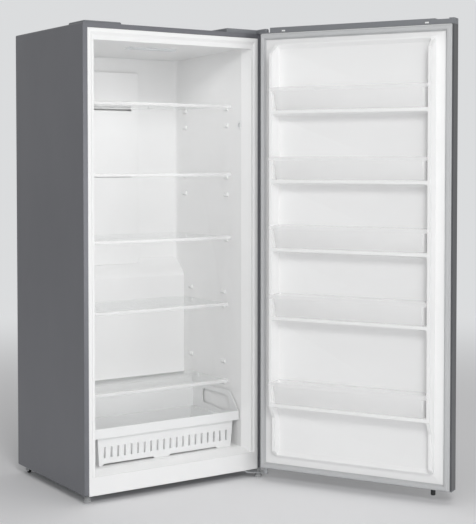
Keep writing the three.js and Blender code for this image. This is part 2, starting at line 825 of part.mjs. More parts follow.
/** The rim's band, moved inwards by an inset. */
function basketRim(inset, low) {
  const [front, back] = [basketLipFront, basketBack];
  const profile = [
    [front + inset, low], [back - inset, low], [back - inset, cavityFloor + basketBackTop + inset * 4],
    [front + basketRiseEnd, cavityFloor + basketSideTop + inset * 4],
    [front + inset, cavityFloor + basketLipTop + inset * 4],
  ];
  return prismX(profile, inset - basketHalf, basketHalf - inset);
}

/** The tub under the rim, moved inwards by an inset. */
function basketTub(inset, low, high) {
  const half = basketHalf - tubSideInset - inset;
  const [front, back] = [basketLipFront + tubInset + inset, basketBack - tubInset - inset];
  const floor = rectangle(tubDraft - half, half - tubDraft, front + tubDraft / 2, back - tubDraft / 2);
  return loft(atZ(floor, low), atZ(rectangle(-half, half, front, back), high));
}

function basketOpenings() {
  const { count, span, width, rise, height } = basketSlots;
  const panel = [basketLipFront + tubInset - overrun, basketLipFront + tubInset + tubDraft + basketWall];
  const slots = oneOf(count).map((i) => {
    const x = -span / 2 + (span * i) / (count - 1);
    return block(x - width / 2, x + width / 2, ...panel, cavityFloor + rise, cavityFloor + rise + height);
  });
  const arches = basketArches.map(({ centre, width }) => {
    const low = cavityFloor - overrun;
    const loop = [
      [centre - width / 2, low], [centre + width / 2, low],
      [centre + width / 2 - archHeight, cavityFloor + archHeight],
      [centre - width / 2 + archHeight, cavityFloor + archHeight],
    ];
    return prismY(loop, ...panel);
  });
  const windowLoop = basketWindow.map(([y, z]) => [basketLipFront + y, cavityFloor + z]);
  const windows = prismX(windowLoop, -basketHalf - overrun, basketHalf + overrun);
  return [...slots, ...arches, windows];
}

function basket() {
  const low = cavityFloor + seat;
  const shoulder = cavityFloor + basketShoulder;
  const outer = join(basketRim(0, shoulder), basketTub(0, low, shoulder + seat));
  const floor = low + tubFloorRise + basketWall;
  const inner = join(
    basketRim(basketWall, shoulder + basketWall),
    basketTub(basketWall, floor, shoulder + 2 * basketWall),
  );
  const hollow = common(
    basketTub(2 * basketWall, low - overrun, shoulder),
    block(-basketHalf, basketHalf, basketLipFront, basketBack, low - overrun, low + tubFloorRise),
  );
  return cut(outer, inner, hollow, ...basketOpenings());
}

// ---- Coils and fans ----

/** A U-shaped tube out of a coil's end, from one row to the next. */
function returnBend(radius, side, x, z) {
  const arc = oneOf(7).map((i) => {
    const angle = Math.PI * (i / 6 - 1 / 2);
    return [x + side * radius * Math.cos(angle), 0, z + radius * Math.sin(angle)];
  });
  const root = x - side * endPlate / 2;
  return rod([[root, 0, z - radius], ...arc, [root, 0, z + radius]], tubeRadius, 8, 6);
}

/** A finned block between two end plates, about its own middle, with return bends at both ends. */
function finnedCoil({ width, depth, height, rows, plate }) {
  const core = block(-width / 2, width / 2, -depth / 2, depth / 2, -height / 2, height / 2);
  const pitch = width / finCount;
  const grooves = oneOf(finCount - 1).flatMap((i) => [-1, 1].map((face) => {
    const x = -width / 2 + pitch * (i + 1);
    const [y0, y1] = [face * (depth / 2 - finGroove), face * (depth / 2 + overrun)];
    return block(x - pitch / 4, x + pitch / 4, y0, y1, -height / 2 - overrun, height / 2 + overrun);
  }));
  const plates = [-1, 1].map((side) => block(
    side * (width / 2 - endPlate / 2), side * (width / 2 + endPlate), ...plate,
  ));
  const rise = height / rows;
  const bends = oneOf(rows - 1).map((i) => {
    const side = i % 2 ? -1 : 1;
    return returnBend(rise / 2, side, side * (width / 2 + endPlate), rise * (i + 1) - height / 2);
  });
  return join(cut(core, ...grooves), ...plates, ...bends);
}

/** One twisted fan blade that starts inside the hub. */
function fanBlade(radius, angle) {
  const stations = [[hubRadius - overrun, 0.75, 12], [radius * 0.65, 0.55, 20], [radius, 0.42, 26]];
  const sections = stations.map(([reach, pitch, chord]) => (
    [[-1, -1], [1, -1], [1, 1], [-1, 1]].map(([along, across]) => {
      const [u, v] = [(along * chord) / 2, across];
      const point = new THREE.Vector3(
        reach, u * Math.cos(pitch) - v * Math.sin(pitch), u * Math.sin(pitch) + v * Math.cos(pitch),
      );
      return point.applyAxisAngle(axisZ, angle).toArray();
    })
  ));
  return loft(...sections);
}

/** A bladed fan about its own axis, with a blind bore for the motor's shaft from below. */
function fan(radius) {
  const half = fanWidth / 2;
  const bore = shaftRadius + boreClearance;
  const hub = turned([
    [0, half], [hubRadius - 2, half], [hubRadius, half - 2], [hubRadius, -half], [bore, -half],
    [bore, half - bore], [0, half - bore],
  ]);
  const blades = oneOf(fanBlades).map((i) => fanBlade(radius, (2 * Math.PI * i) / fanBlades));
  const room = bar(bore, -half, half - bore);
  return cut(join(hub, ...blades), room);
}

/** A fan motor with its shaft, about the fan's axis; the fan's middle is its own zero. */
function fanMotor(at, lean) {
  const half = fanWidth / 2;
  const face = -half - motorGap;
  return turned([
    [0, face - motorLength], [motorRadius - 2, face - motorLength], [motorRadius, face - motorLength + 2],
    [motorRadius, face - 2], [motorRadius - 2, face], [shaftRadius, face],
    [shaftRadius, half - shaftRadius - 3 * boreClearance], [0, half - shaftRadius - 3 * boreClearance],
  ], at, lean);
}

const coilLow = stepTop + coilRise;
const coilFront = coverFront + coverWall + coilFrontGap;
const coilPlace = [0, coilFront + coilDepth / 2, coilLow + coilHeight / 2];

function evaporator() {
  const front = -coilDepth / 2;
  const back = linerBack - coilPlace[1];
  const low = -coilHeight / 2 - heaterDrop - 2 * heaterFerrule;
  const plate = [front, back, low, coilHeight / 2];
  const size = { width: coilWidth, depth: coilDepth, height: coilHeight, rows: coilRows };
  const coil = finnedCoil({ ...size, plate });
  const reach = coilWidth / 2 + 2 * endPlate;
  const heaterHole = bar(
    tubeRadius + boreClearance, -reach, reach, [0, 0, -coilHeight / 2 - heaterDrop], alongX,
  );
  return cut(coil, heaterHole);
}

/** A heater tube through the coil's end plates, with a rubber ferrule outside each. */
function defrostHeater() {
  const plate = coilWidth / 2 + endPlate + seat;
  const end = plate + heaterTail;
  return turned([
    [0, -end], [heaterFerrule, -end], [heaterFerrule, -plate], [tubeRadius, -plate],
    [tubeRadius, plate], [heaterFerrule, plate], [heaterFerrule, end], [0, end],
  ]);
}

const fanPlace = [0, coverFront + coverWall + fanGap + fanWidth / 2, coilLow + coilHeight + fanRise];
const facingFront = [Math.PI / 2, 0, 0]; // an upright axis laid along -Y

function evaporatorFanMotor() {
  const { half, height } = motorBar;
  const [, y, z] = fanPlace;
  const rear = y + fanWidth / 2 + motorGap + motorLength;
  const mount = block(-half, half, rear - overrun, linerBack, z - height / 2, z + height / 2);
  return join(fanMotor(fanPlace, facingFront), mount);
}

// ---- Machine compartment ----

const rollerX = caseHalf - rollerInset;
const rollerY = backFace - rollerSetback;

/** The plate that carries the machine and, between pairs of cheeks, the rear rollers. */
function compressorBase() {
  const low = plateTop - basePlate;
  const plate = block(-insideHalf, insideHalf, compartmentFront - baseOverlap, backFace, low, plateTop);
  const gap = rollerWidth / 2 + 2 * seat;
  const cheeks = [-rollerX, rollerX].flatMap((x) => [-1, 1].map((side) => block(
    x + side * gap, x + side * (gap + cheek.thickness), rollerY - cheek.half, rollerY + cheek.half,
    cheek.low, low + basePlate / 2,
  )));
  const holes = [-rollerX, rollerX].map((x) => bar(
    axleRadius + boreClearance, -rollerWidth, rollerWidth, [x, rollerY, rollerRadius], alongX,
  ));
  return cut(join(plate, ...cheeks), ...holes);
}

const compressorY = compartmentMiddle;

function compressor() {
  const { width, depth, radius, height, plate } = compressorFeet;
  const low = plateTop + seat;
  const at = [compressorX, compressorY, low];
  const foot = height + plate;
  const seam = foot + compressorHeight * 0.55;
  const crown = foot + compressorHeight;
  const shell = turned([
    [0, height], [compressorRadius * 0.6, height], [compressorRadius * 0.92, foot + 10],
    [compressorRadius - 3, foot + 30], [compressorRadius - 3, seam - 3], [compressorRadius, seam - 3],
    [compressorRadius, seam + 3], [compressorRadius - 4, seam + 3], [compressorRadius - 5, seam + 40],
    [compressorRadius * 0.78, crown - 12], [compressorRadius * 0.4, crown], [0, crown],
  ], at, upright, 24);
  const [x, y] = [width / 2, depth / 2];
  const sole = block(
    compressorX - x, compressorX + x, compressorY - y, compressorY + y, low + height, low + foot,
  );
  const feet = [-1, 1].flatMap((u) => [-1, 1].map((v) => bar(
    radius, 0, foot, [compressorX + u * (x - radius), compressorY + v * (y - radius), low], upright, 12,
  )));
  const stub = bar(
    stubRadius, compressorRadius / 2, compressorRadius + stubLength,
    [compressorX, compressorY, low + seam + 3 * stubRadius], [0, -Math.PI / 2, 0], 16,
  );
  return join(shell, sole, ...feet, stub);
}

const condenserX = condenserSideGap + condenserSize.depth / 2 - insideHalf;
const condenserPlace = [condenserX, compartmentMiddle, plateTop + condenserRise + condenserSize.height / 2];
const quarterTurn = [0, 0, Math.PI / 2];

function condenser() {
  const { depth, height } = condenserSize;
  const foot = plateTop + seat - condenserPlace[2];
  const plate = [-depth / 2, depth / 2, foot, height / 2];
  const coil = finnedCoil({ ...condenserSize, plate });
  const inlet = bar(
    stubRadius, height / 2 - stubLength, height / 2 + stubLength, [0, 0, 0], upright, 16,
  );
  return join(coil, inlet);
}

const condenserFanPlace = [condenserFanX, compartmentMiddle, condenserFanHeight];
const facingLeft = [0, -Math.PI / 2, 0]; // an upright axis laid along -X

function condenserFanMotor() {
  const [x, y, z] = condenserFanPlace;
  const middle = x + fanWidth / 2 + motorLength / 2;
  const post = motorRadius / 2;
  const leg = block(middle - post / 2, middle + post / 2, y - post, y + post, plateTop + seat, z);
  const foot = block(
    middle - motorRadius, middle + motorRadius, y - motorRadius, y + motorRadius,
    plateTop + seat, plateTop + seat + basePlate,
  );
  return join(fanMotor(condenserFanPlace, facingLeft), leg, foot);
}

function drainPan() {
  const [low, high] = [plateTop + seat, plateTop + seat + drainPanHeight];
  const form = (inset) => [
    drainPanWall + inset - drainPanWidth / 2, drainPanWidth / 2 - inset - drainPanWall,
    compartmentMiddle - drainPanDepth / 2 + inset, compartmentMiddle + drainPanDepth / 2 - inset,
  ];
  const outer = loft(atZ(rectangle(...form(drainPanWall)), low), atZ(rectangle(...form(0)), high));
  const inner = loft(
    atZ(rectangle(...form(2 * drainPanWall)), low + drainPanWall),
    atZ(rectangle(...form(drainPanWall)), high + sheet),
  );
  return cut(outer, inner);
}

/** From the compressor's outlet, over the fan and down to the top of the condenser. */
function dischargeLine() {
  const { height, plate } = compressorFeet;
  const outlet = plateTop + seat + height + plate + compressorHeight * 0.55 + 3 * stubRadius;
  const start = compressorX - compressorRadius - stubLength - seat;
  const y = compartmentMiddle;
  const end = condenserPlace[2] + condenserSize.height / 2 + stubLength + seat;
  return rod([
    [start, y, outlet], [start - 18, y, outlet], [start - 40, y, outlet + 24],
    [start - 60, y, lineHeight - 14], [start - 90, y, lineHeight], [condenserX + 60, y, lineHeight],
    [condenserX + 16, y, lineHeight - 4], [condenserX, y, end + 10], [condenserX, y, end],
  ], lineRadius, 28);
}

/** The sheet that closes the machine compartment, with rows of hooded slots. */
function rearCover() {
  const { rows, pitch, height, length, low, spread, hood } = louvres;
  const panel = block(
    -insideHalf, insideHalf, backFace - sheet, backFace, groundClearance, compartmentTop - seat,
  );
  const places = [-spread, spread].flatMap((x) => oneOf(rows).map((row) => [x, low + pitch * row]));
  const hoods = places.map(([x, z]) => prismX(
    [[backFace - sheet / 2, z], [backFace + hood, z], [backFace + hood, z + sheet],
      [backFace - sheet / 2, z + height + 2 * hood]],
    x - length / 2, x + length / 2,
  ));
  const slots = places.map(([x, z]) => prismX(
    [[backFace - 2 * sheet, z - overrun], [backFace + hood - sheet, z - overrun],
      [backFace + hood - sheet, z], [backFace - sheet / 2, z + height], [backFace - 2 * sheet, z + height]],
    x - length / 2 + sheet, x + length / 2 - sheet,
  ));
  const glandHole = bar(
    glandRadius + boreClearance, -2 * sheet, 2 * sheet, [glandPlace.x, backFace, glandPlace.z], backwards,
  );
  return cut(join(panel, ...hoods), ...slots, glandHole);
}

/** A grommet with a flange on both sides of the rear cover. */
function cordGland() {
  const [inner, outer] = [-sheet - seat, seat];
  const flange = 2;
  return turned([
    [glandBore, inner - flange], [glandFlange, inner - flange], [glandFlange, inner],
    [glandRadius, inner], [glandRadius, outer], [glandFlange, outer],
    [glandFlange - flange, outer + flange], [glandBore, outer + flange], [glandBore, inner - flange],
  ], [glandPlace.x, backFace, glandPlace.z], backwards);
}

// ---- Feet and rollers ----

function levellingFoot(height) {
  return turned([
    [0, 0], [footRadius - 1.5, 0], [footRadius, 1.5], [footRadius, 9], [footRadius - 3, 11],
    [footRadius - 6, height - 2], [footRadius - 6, height], [studRadius, height],
    [studRadius, height + studLength - 8], [0, height + studLength - 8],
  ]);
}

/** A roller with its axle, about its own axis. */
function roller() {
  const half = rollerWidth / 2;
  const end = half + 2 * seat + cheek.thickness + overrun;
  return turned([
    [0, -end], [axleRadius, -end], [axleRadius, -half], [rollerRadius - 1.5, -half],
    [rollerRadius, 1.5 - half], [rollerRadius, half - 1.5], [rollerRadius - 1.5, half],
    [axleRadius, half], [axleRadius, end], [0, end],
  ]);
}

// ---- Hinges and their covers ----

/** Half round about the hinge's axis, from its left to its right by way of the front. */
function noseArc(radius, steps = 8) {
  return oneOf(steps + 1).map((i) => {
    const angle = Math.PI * (1 + i / steps);
    return [hinge.x + radius * Math.cos(angle), hinge.y + radius * Math.sin(angle)];
  });
}

function topHingeBracket() {
  const arm = [...noseArc(armHalf), [hinge.x + armHalf, topPlateBack], [hinge.x - armHalf, topPlateBack]];
  const right = hinge.x + armHalf;
  const plate = roundedLoop(right - topPlateWidth, right, topPlateFront, topPlateBack, armHalf);
  const pin = bar(pinRadius, -topPinLength, hingePlate / 2, [hinge.x, hinge.y, topPlateLow]);
  const high = topPlateLow + hingePlate;
  return join(prismZ(arm, topPlateLow, high), prismZ(plate, topPlateLow, high), pin);
}

/** A moulded cap over a convex plan, hollow below, with a chamfered upper edge. */
function capForm(plan, low, high, edge, inset) {
  return loft(
    atZ(offsetLoop(plan, -inset), low),
    atZ(offsetLoop(plan, -inset), high - edge),
    atZ(offsetLoop(plan, -inset - edge), high),
  );
}

function topHingeCover() {
  const { inset, front, back, wall, height, edge } = hingeCover;
  const high = topPlateLow + height;
  const reach = hinge.x + noseRadius;
  const nose = [...noseArc(noseRadius), [reach, back / 2], [hinge.x - noseRadius, back / 2]];
  const body = roundedLoop(caseHalf - inset, reach, front, back, 2 * edge);
  const form = (growth, low, top) => join(
    capForm(body, low, top, edge, growth),
    capForm(nose, low, top, edge, growth),
  );
  return cut(form(0, topPlateLow, high), form(wall, topPlateLow - overrun, high - wall));
}

function hingeHoleCover() {
  const { inset, width, front, back, wall, height, edge } = blankCover;
  const [low, high] = [topPlateLow, topPlateLow + height];
  const left = inset - caseHalf;
  const plan = roundedLoop(left, left + width, front, back, 3 * edge);
  return cut(capForm(plan, low, high, edge, 0), capForm(plan, low - overrun, high - wall, edge, wall));
}

const bracketLow = plateTop - hingePlate; // underside of the part of the lower bracket under the case
const armLow = bracketLow - bottomPlateDrop;

function bottomHingeBracket() {
  const slope = bottomPlateDrop;
  const line = [
    [hinge.y - noseRadius, armLow], [linerWall, armLow],
    [linerWall + slope, bracketLow], [bottomPlateBack, bracketLow],
  ];
  const right = hinge.x + noseRadius;
  const plan = [
    ...noseArc(noseRadius), [right, bottomPlateBack], [right - bottomPlateWidth, bottomPlateBack],
    [right - bottomPlateWidth, slope], [hinge.x - 2 * noseRadius, hinge.y / 2],
  ];
  const plate = common(prismX(sheetLoop(line, hingePlate), 0, caseHalf), prismZ(plan, 0, caseTop));
  const low = armLow + hingePlate / 2;
  const collarTop = doorBottom - bushFlange - 2 * seat;
  const pinTop = doorBottom + bushLength - 2;
  const pin = turned([
    [0, low], [collarRadius, low], [collarRadius, collarTop], [pinRadius, collarTop],
    [pinRadius, pinTop], [0, pinTop],
  ], [hinge.x, hinge.y, 0]);
  const stud = bar(studRadius + boreClearance, 0, groundClearance, [rightFootX, rightFootPlace.y, 0]);
  return cut(join(plate, pin), stud);
}

/** A flanged bush about the hinge's axis; its flange is below zero and its sleeve above. */
function hingeBush(at, lean) {
  const bore = pinRadius + boreClearance;
  return turned([
    [bore, -bushFlange], [bushFlangeRadius, -bushFlange], [bushFlangeRadius, 0],
    [bushRadius, 0], [bushRadius, bushLength], [bore, bushLength], [bore, -bushFlange],
  ], at, lean);
}

// ---- Door: skin, caps, foam and gasket ----

/** The door's plan, moved inwards by an inset, up to a rear plane. */
function doorPlan(inset, rear) {
  const half = doorHalf - inset;
  const front = doorFace + inset;
  const rounded = roundedLoop(-half, half, front, front + 4 * doorCorner, doorCorner - inset);
  const corner = rounded.length / 4;
  return [...rounded.slice(3 * corner), ...rounded.slice(0, corner), [half, rear], [-half, rear]];
}

function doorSkin() {
  const opening = doorHalf - doorLip;
  return cut(
    prismZ(doorPlan(0, doorRim), skinBottom, skinTop),
    prismZ(doorPlan(doorSheet, doorRim - doorSheet), skinBottom - overrun, skinTop + overrun),
    block(
      -opening, opening, doorRim - 2 * doorSheet, doorRim + overrun,
      skinBottom - overrun, skinTop + overrun,
    ),
  );
}

const plugPlaces = [capPlug.inset - doorHalf, doorHalf - capPlug.inset];
const plugHeight = capTop - capPlug.drop;

/** A block through the cap's rear wall at a plug. */
function plugBlock(x, y0, y1, inset) {
  const [w, h] = [capPlug.width / 2 - inset, capPlug.height / 2 - inset];
  return block(x - w, x + w, y0, y1, plugHeight - h, plugHeight + h);
}

function capPlugBody(x) {
  const head = plugBlock(x, doorRim + seat, doorRim + capPlug.reach, 0);
  const neck = plugBlock(x, doorRim - capWall - capPlug.reach, doorRim + capPlug.reach / 2, capPlug.neck);
  return join(head, neck);
}

const bushBore = (low, high) => bar(bushRadius + boreClearance, low, high, [hinge.x, hinge.y, 0]);

/** A ring with bosses that fits inside the door's skin and keeps a cap in place. */
function spigot(low, high, ...bosses) {
  const inset = doorSheet + seat;
  const outer = prismZ(doorPlan(inset, doorBack), low, high);
  const inner = prismZ(doorPlan(inset + capWall, doorBack - capWall), low - overrun, high + overrun);
  const hingeBoss = bar(bushRadius + bossWall, low, high, [hinge.x, hinge.y, 0]);
  return join(cut(outer, inner), common(outer, join(hingeBoss, ...bosses)));
}

function doorTopCap() {
  const spigotLow = capBottom - spigotLength;
  const shell = cut(
    prismZ(doorPlan(0, doorRim), capBottom, capTop),
    prismZ(doorPlan(capWall, doorRim - capWall), capBottom - overrun, capTop - capWall),
  );
  const wall = doorHalf - capRecess;
  const well = block(wall - capWall, doorHalf, doorFace, doorRim, capBottom, capTop);
  const step = block(
    blankRecessLeft - capWall, blankRecessLeft + blankRecess.width + capWall, doorFace, doorRim,
    capTop - blankRecess.depth - capWall, capTop,
  );
  const bodies = common(join(well, step), prismZ(doorPlan(0, doorRim), capBottom, capTop));
  const hingeRoom = block(
    wall, doorHalf + overrun, doorFace - overrun, doorRim + overrun, recessFloor, capTop + overrun,
  );
  const blankRoom = block(
    blankRecessLeft, blankRecessLeft + blankRecess.width, doorFace - overrun, doorRim + overrun,
    capTop - blankRecess.depth, capTop + overrun,
  );
  const plugRooms = plugPlaces.map((x) => plugBlock(
    x, doorRim - 2 * capWall, doorRim + overrun, capPlug.neck - seat,
  ));
  return cut(
    join(shell, bodies, spigot(spigotLow, capBottom + capFloor - sheet)),
    hingeRoom, blankRoom, bushBore(spigotLow - overrun, capTop), ...plugRooms,
  );
}

function doorBottomCap() {
  const high = doorBottom + bottomRim;
  const rim = prismZ(doorPlan(0, doorRim), doorBottom, high);
  const top = high + spigotLength;
  const pegAt = [pegX, (doorRim + doorFace) / 2, 0];
  const pegBoss = bar(peg.stud + bossWall, high - sheet, top, pegAt);
  const pegRoom = bar(peg.stud + boreClearance, doorBottom - overrun, top + overrun, pegAt);
  return cut(
    join(rim, spigot(high - sheet, top, pegBoss)),
    bushBore(doorBottom - overrun, top + overrun),
    pegRoom,
  );
}

function doorPeg() {
  const top = doorBottom - seat;
  return turned([
    [0, top - peg.length], [peg.radius - 2, top - peg.length], [peg.radius, top - peg.length + 2],
    [peg.radius, top], [peg.stud, top], [peg.stud, top + peg.studLength], [0, top + peg.studLength],
  ], [pegX, (doorRim + doorFace) / 2, 0]);
}

function gasket() {
  const outer = doorHalf - gasketSideInset;
  const [low, high] = [doorBottom + gasketEndInset, skinTop - gasketEndInset];
  const [back, front] = [doorRim + seat, -gasketSqueeze];
  const lip = (inset) => [inset - outer, outer - inset, low + inset, high - inset];
  const ring = (inset, grow) => loft(
    atY(rectangle(...lip(inset)), back), atY(rectangle(...lip(inset + grow)), front),
  );
  const room = prismY(rectangle(...lip(gasketWidth)), back - overrun, front + overrun);
  const bellows = loft(
    atY(rectangle(...lip(gasketWidth)), back + (front - back) / 2),
    atY(rectangle(...lip(gasketWidth - gasketTaper)), front + overrun),
  );
  return cut(ring(0, gasketTaper), room, bellows);
}

// ---- Door: liner, foam and bins ----

const lowestLedge = ledges[0] - ledgeHeight;

/** The side ribs' outline over height, [how far out, height]. */
function ribProfile() {
  const reach = (depth) => doorRim + depth;
  const root = reach(-doorLinerWall);
  return [
    [root, frameLow], [reach(ridgeReach), frameLow], [reach(lowRibReach), frameLow + ridgeHeight],
    [reach(lowRibReach), lowestLedge - ribSlope], [reach(ribReach), lowestLedge],
    [reach(ribReach), ribTop - ribTopSlope], [reach(lowRibReach), ribTop],
    [reach(ridgeReach), (ribTop + frameHigh) / 2], [reach(ridgeReach), frameHigh], [root, frameHigh],
  ];
}

/** Fillets where the edge over a recess meets the ribs, given its height on the floor and at its crest. */
function recessFillets(root, lowEdge, crest, highEdge) {
  const spread = (ribDraft * (crest - root)) / (ribReach + doorLinerWall);
  const section = (side, half, edge) => [
    [side * (half + overrun), edge + overrun], [side * (half - recessCorner), edge + overrun],
    ...oneOf(4).map((i) => {
      const angle = (Math.PI / 2) * (1 - i / 3);
      return [
        side * (half - recessCorner * (1 - Math.cos(angle))), edge - recessCorner * (1 - Math.sin(angle)),
      ];
    }),
    [side * (half + overrun), edge - recessCorner],
  ];
  return [-1, 1].map((side) => loft(
    atY(section(side, recessHalf, lowEdge), root),
    atY(section(side, recessHalf + spread, highEdge), crest),
  ));
}

/** What stands out of the door liner's flange: two ribs, the ledges and two end ridges. */
function ribForm(growth, root) {
  const crest = doorRim + ribReach + growth;
  const profile = offsetLoop(ribProfile(), growth);
  profile[0][0] = root;
  profile[profile.length - 1][0] = root;
  const plan = (side) => [
    [side * (recessHalf - growth), root], [side * (frameHalf + growth), root],
    [side * (frameHalf + growth), crest], [side * (recessHalf + ribDraft - growth), crest],
  ];
  const ribs = common(
    prismX(profile, -doorHalf, doorHalf),
    join(prismZ(plan(-1), 0, caseTop), prismZ(plan(1), 0, caseTop)),
  );
  const across = recessHalf + ribDraft + growth;
  const ledgeForms = ledges.map((top) => prismX([
    [root, top - ledgeHeight * 1.5 - growth], [crest, top - ledgeHeight - growth],
    [crest, top + growth], [root, top + growth],
  ], -across, across));
  const ridge = doorRim + ridgeReach + growth;
  const ridges = [[frameLow, 1], [frameHigh, -1]].map(([edge, up]) => prismX([
    [root, edge - up * growth], [ridge, edge - up * growth],
    [ridge, edge + up * (ridgeHeight / 4 + growth)], [root, edge + up * (ridgeHeight + growth)],
  ], -across, across));
  const outline = roundedLoop(
    -frameHalf - growth, frameHalf + growth, frameLow - growth, frameHigh + growth, frameCorner + growth,
  );
  return common(join(ribs, ...ledgeForms, ...ridges), prismY(outline, root - overrun, crest + overrun));
}

function doorLiner() {
  const half = doorHalf - doorLip - seat;
  const root = doorRim - doorLinerWall;
  const flange = block(-half, half, root, doorRim, skinBottom, skinTop);
  const [crest, ridge] = [doorRim + ribReach, doorRim + ridgeReach];
  const fillets = [
    ...ledges.flatMap((top) => recessFillets(root, top - ledgeHeight * 1.5, crest, top - ledgeHeight)),
    ...recessFillets(root, frameHigh - ridgeHeight, ridge, frameHigh - ridgeHeight / 4),
  ];
  const filled = common(join(...fillets), prismX(ribProfile(), -doorHalf, doorHalf));
  return cut(join(flange, ribForm(0, root), filled), ribForm(-doorLinerWall, root - overrun));
}

function doorInsulation() {
  const slab = prismZ(
    doorPlan(doorSheet + seat, doorBack), skinBottom + spigotLength + seat, skinTop - spigotLength - seat,
  );
  return join(slab, ribForm(-doorLinerWall - seat, doorBack - overrun));
}

/** The bin's outside, moved inwards by an inset. */
function binForm(ledge, inset) {
  const [low, high] = [ledge + seat + inset, ledge + seat + binHeight];
  const half = recessHalf - binSideGap - inset;
  const rear = doorRim + binRearGap + inset;
  return loft(
    atZ(rectangle(binEndDraft - half, half - binEndDraft, rear, doorRim + binLowReach - inset), low),
    atZ(rectangle(-half, half, rear, doorRim + binHighReach - inset), high + (inset ? overrun : 0)),
  );
}

function doorBin(ledge) {
  const high = ledge + seat + binHeight;
  const half = recessHalf + binLip.overlap;
  const front = doorRim + binHighReach;
  const lip = block(-half, half, front - binLip.depth, front, high - binLip.height, high);
  return cut(join(binForm(ledge, 0), lip), binForm(ledge, binWall));
}

// ---- The cabinet's pieces ----

place(freezer, 'outer_case', outerCase(), caseGrey);
place(freezer, 'back_panel', backPanel(), zinc);
place(freezer, 'base_pan', basePan(), zinc);
place(freezer, 'liner', liner(), innerWhite);
place(freezer, 'cabinet_insulation', insulation(), foam);
place(freezer, 'duct_cover', ductCover(), innerWhite);
place(freezer, 'evaporator_cover', evaporatorCover(), innerWhite);
place(freezer, 'light_cover', lampCover(), clearWhite);
place(freezer, 'temperature_sensor', sensor(), white);
place(freezer, 'door_switch_housing', switchHousing(), white);
place(freezer, 'door_switch_plunger', switchPlunger(), footGrey);
place(freezer, 'evaporator', evaporator(), aluminium, coilPlace);
place(
  freezer, 'defrost_heater', defrostHeater(), aluminium,
  [0, coilPlace[1], coilLow - heaterDrop], alongX,
);
place(freezer, 'evaporator_fan', fan(fanRadius), black, fanPlace, facingFront);
place(freezer, 'evaporator_fan_motor', evaporatorFanMotor(), black);
place(freezer, 'basket', basket(), white);
shelves.forEach((shelf, i) => {
  place(freezer, `shelf_${i + 1}_glass`, shelfGlass(shelf), glass);
  place(freezer, `shelf_${i + 1}_trim`, shelfTrim(shelf), white);
});

place(freezer, 'compressor_base', compressorBase(), zinc);
place(freezer, 'compressor', compressor(), black);
place(freezer, 'condenser', condenser(), aluminium, condenserPlace, quarterTurn);
place(freezer, 'condenser_fan', fan(condenserFanRadius), black, condenserFanPlace, facingLeft);
place(freezer, 'condenser_fan_motor', condenserFanMotor(), black);
place(freezer, 'drain_pan', drainPan(), black);
place(freezer, 'discharge_line', dischargeLine(), copper);
place(freezer, 'rear_cover', rearCover(), zinc);
place(freezer, 'cord_gland', cordGland(), black);

place(freezer, 'front_foot_left', levellingFoot(footHeight), footGrey, [leftFootX, leftFootPlace.y, 0]);
place(
  freezer, 'front_foot_right', levellingFoot(armLow - seat), footGrey, [rightFootX, rightFootPlace.y, 0],
);
sides.forEach(([name, side]) => {
  place(freezer, `rear_roller_${name}`, roller(), black, [side * rollerX, rollerY, rollerRadius], alongX);
});

place(freezer, 'top_hinge_bracket', topHingeBracket(), zinc);
place(freezer, 'top_hinge_cover', topHingeCover(), capGrey);
place(freezer, 'hinge_hole_cover', hingeHoleCover(), capGrey);
place(freezer, 'bottom_hinge_bracket', bottomHingeBracket(), zinc);

// ---- The door's pieces ----

place(door, 'door_skin', doorSkin(), doorGrey);
place(door, 'door_liner', doorLiner(), innerWhite);
place(door, 'door_insulation', doorInsulation(), foam);
place(door, 'door_gasket', gasket(), gasketGrey);
place(door, 'door_top_cap', doorTopCap(), capGrey);
place(door, 'door_bottom_cap', doorBottomCap(), capGrey);
place(door, 'door_peg', doorPeg(), black);
place(door, 'top_hinge_bush', hingeBush([hinge.x, hinge.y, recessFloor + seat], [Math.PI, 0, 0]), white);
place(door, 'bottom_hinge_bush', hingeBush([hinge.x, hinge.y, doorBottom - seat], upright), white);
sides.forEach(([name], i) => {
  place(door, `cap_plug_${name}`, capPlugBody(plugPlaces[i]), white);
});
ledges.toReversed().forEach((ledge, i) => {
  place(door, `door_bin_${i + 1}`, doorBin(ledge), clearWhite);
});

freezer.updateMatrixWorld(true);
const extent = new THREE.Box3().setFromObject(freezer, true);
const middle = extent.getCenter(new THREE.Vector3());
freezer.position.set(-middle.x, -middle.y, -extent.min.z);

export default freezer;
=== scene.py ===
"""Dresses an upright freezer that stands with its door open: finishes, small parts, camera and light."""

import json
import logging
import math
from collections.abc import Callable, Iterator, Sequence
from contextlib import contextmanager
from dataclasses import dataclass
from enum import Enum
from typing import ClassVar

import bmesh
import bpy
from mathutils import Matrix, Vector


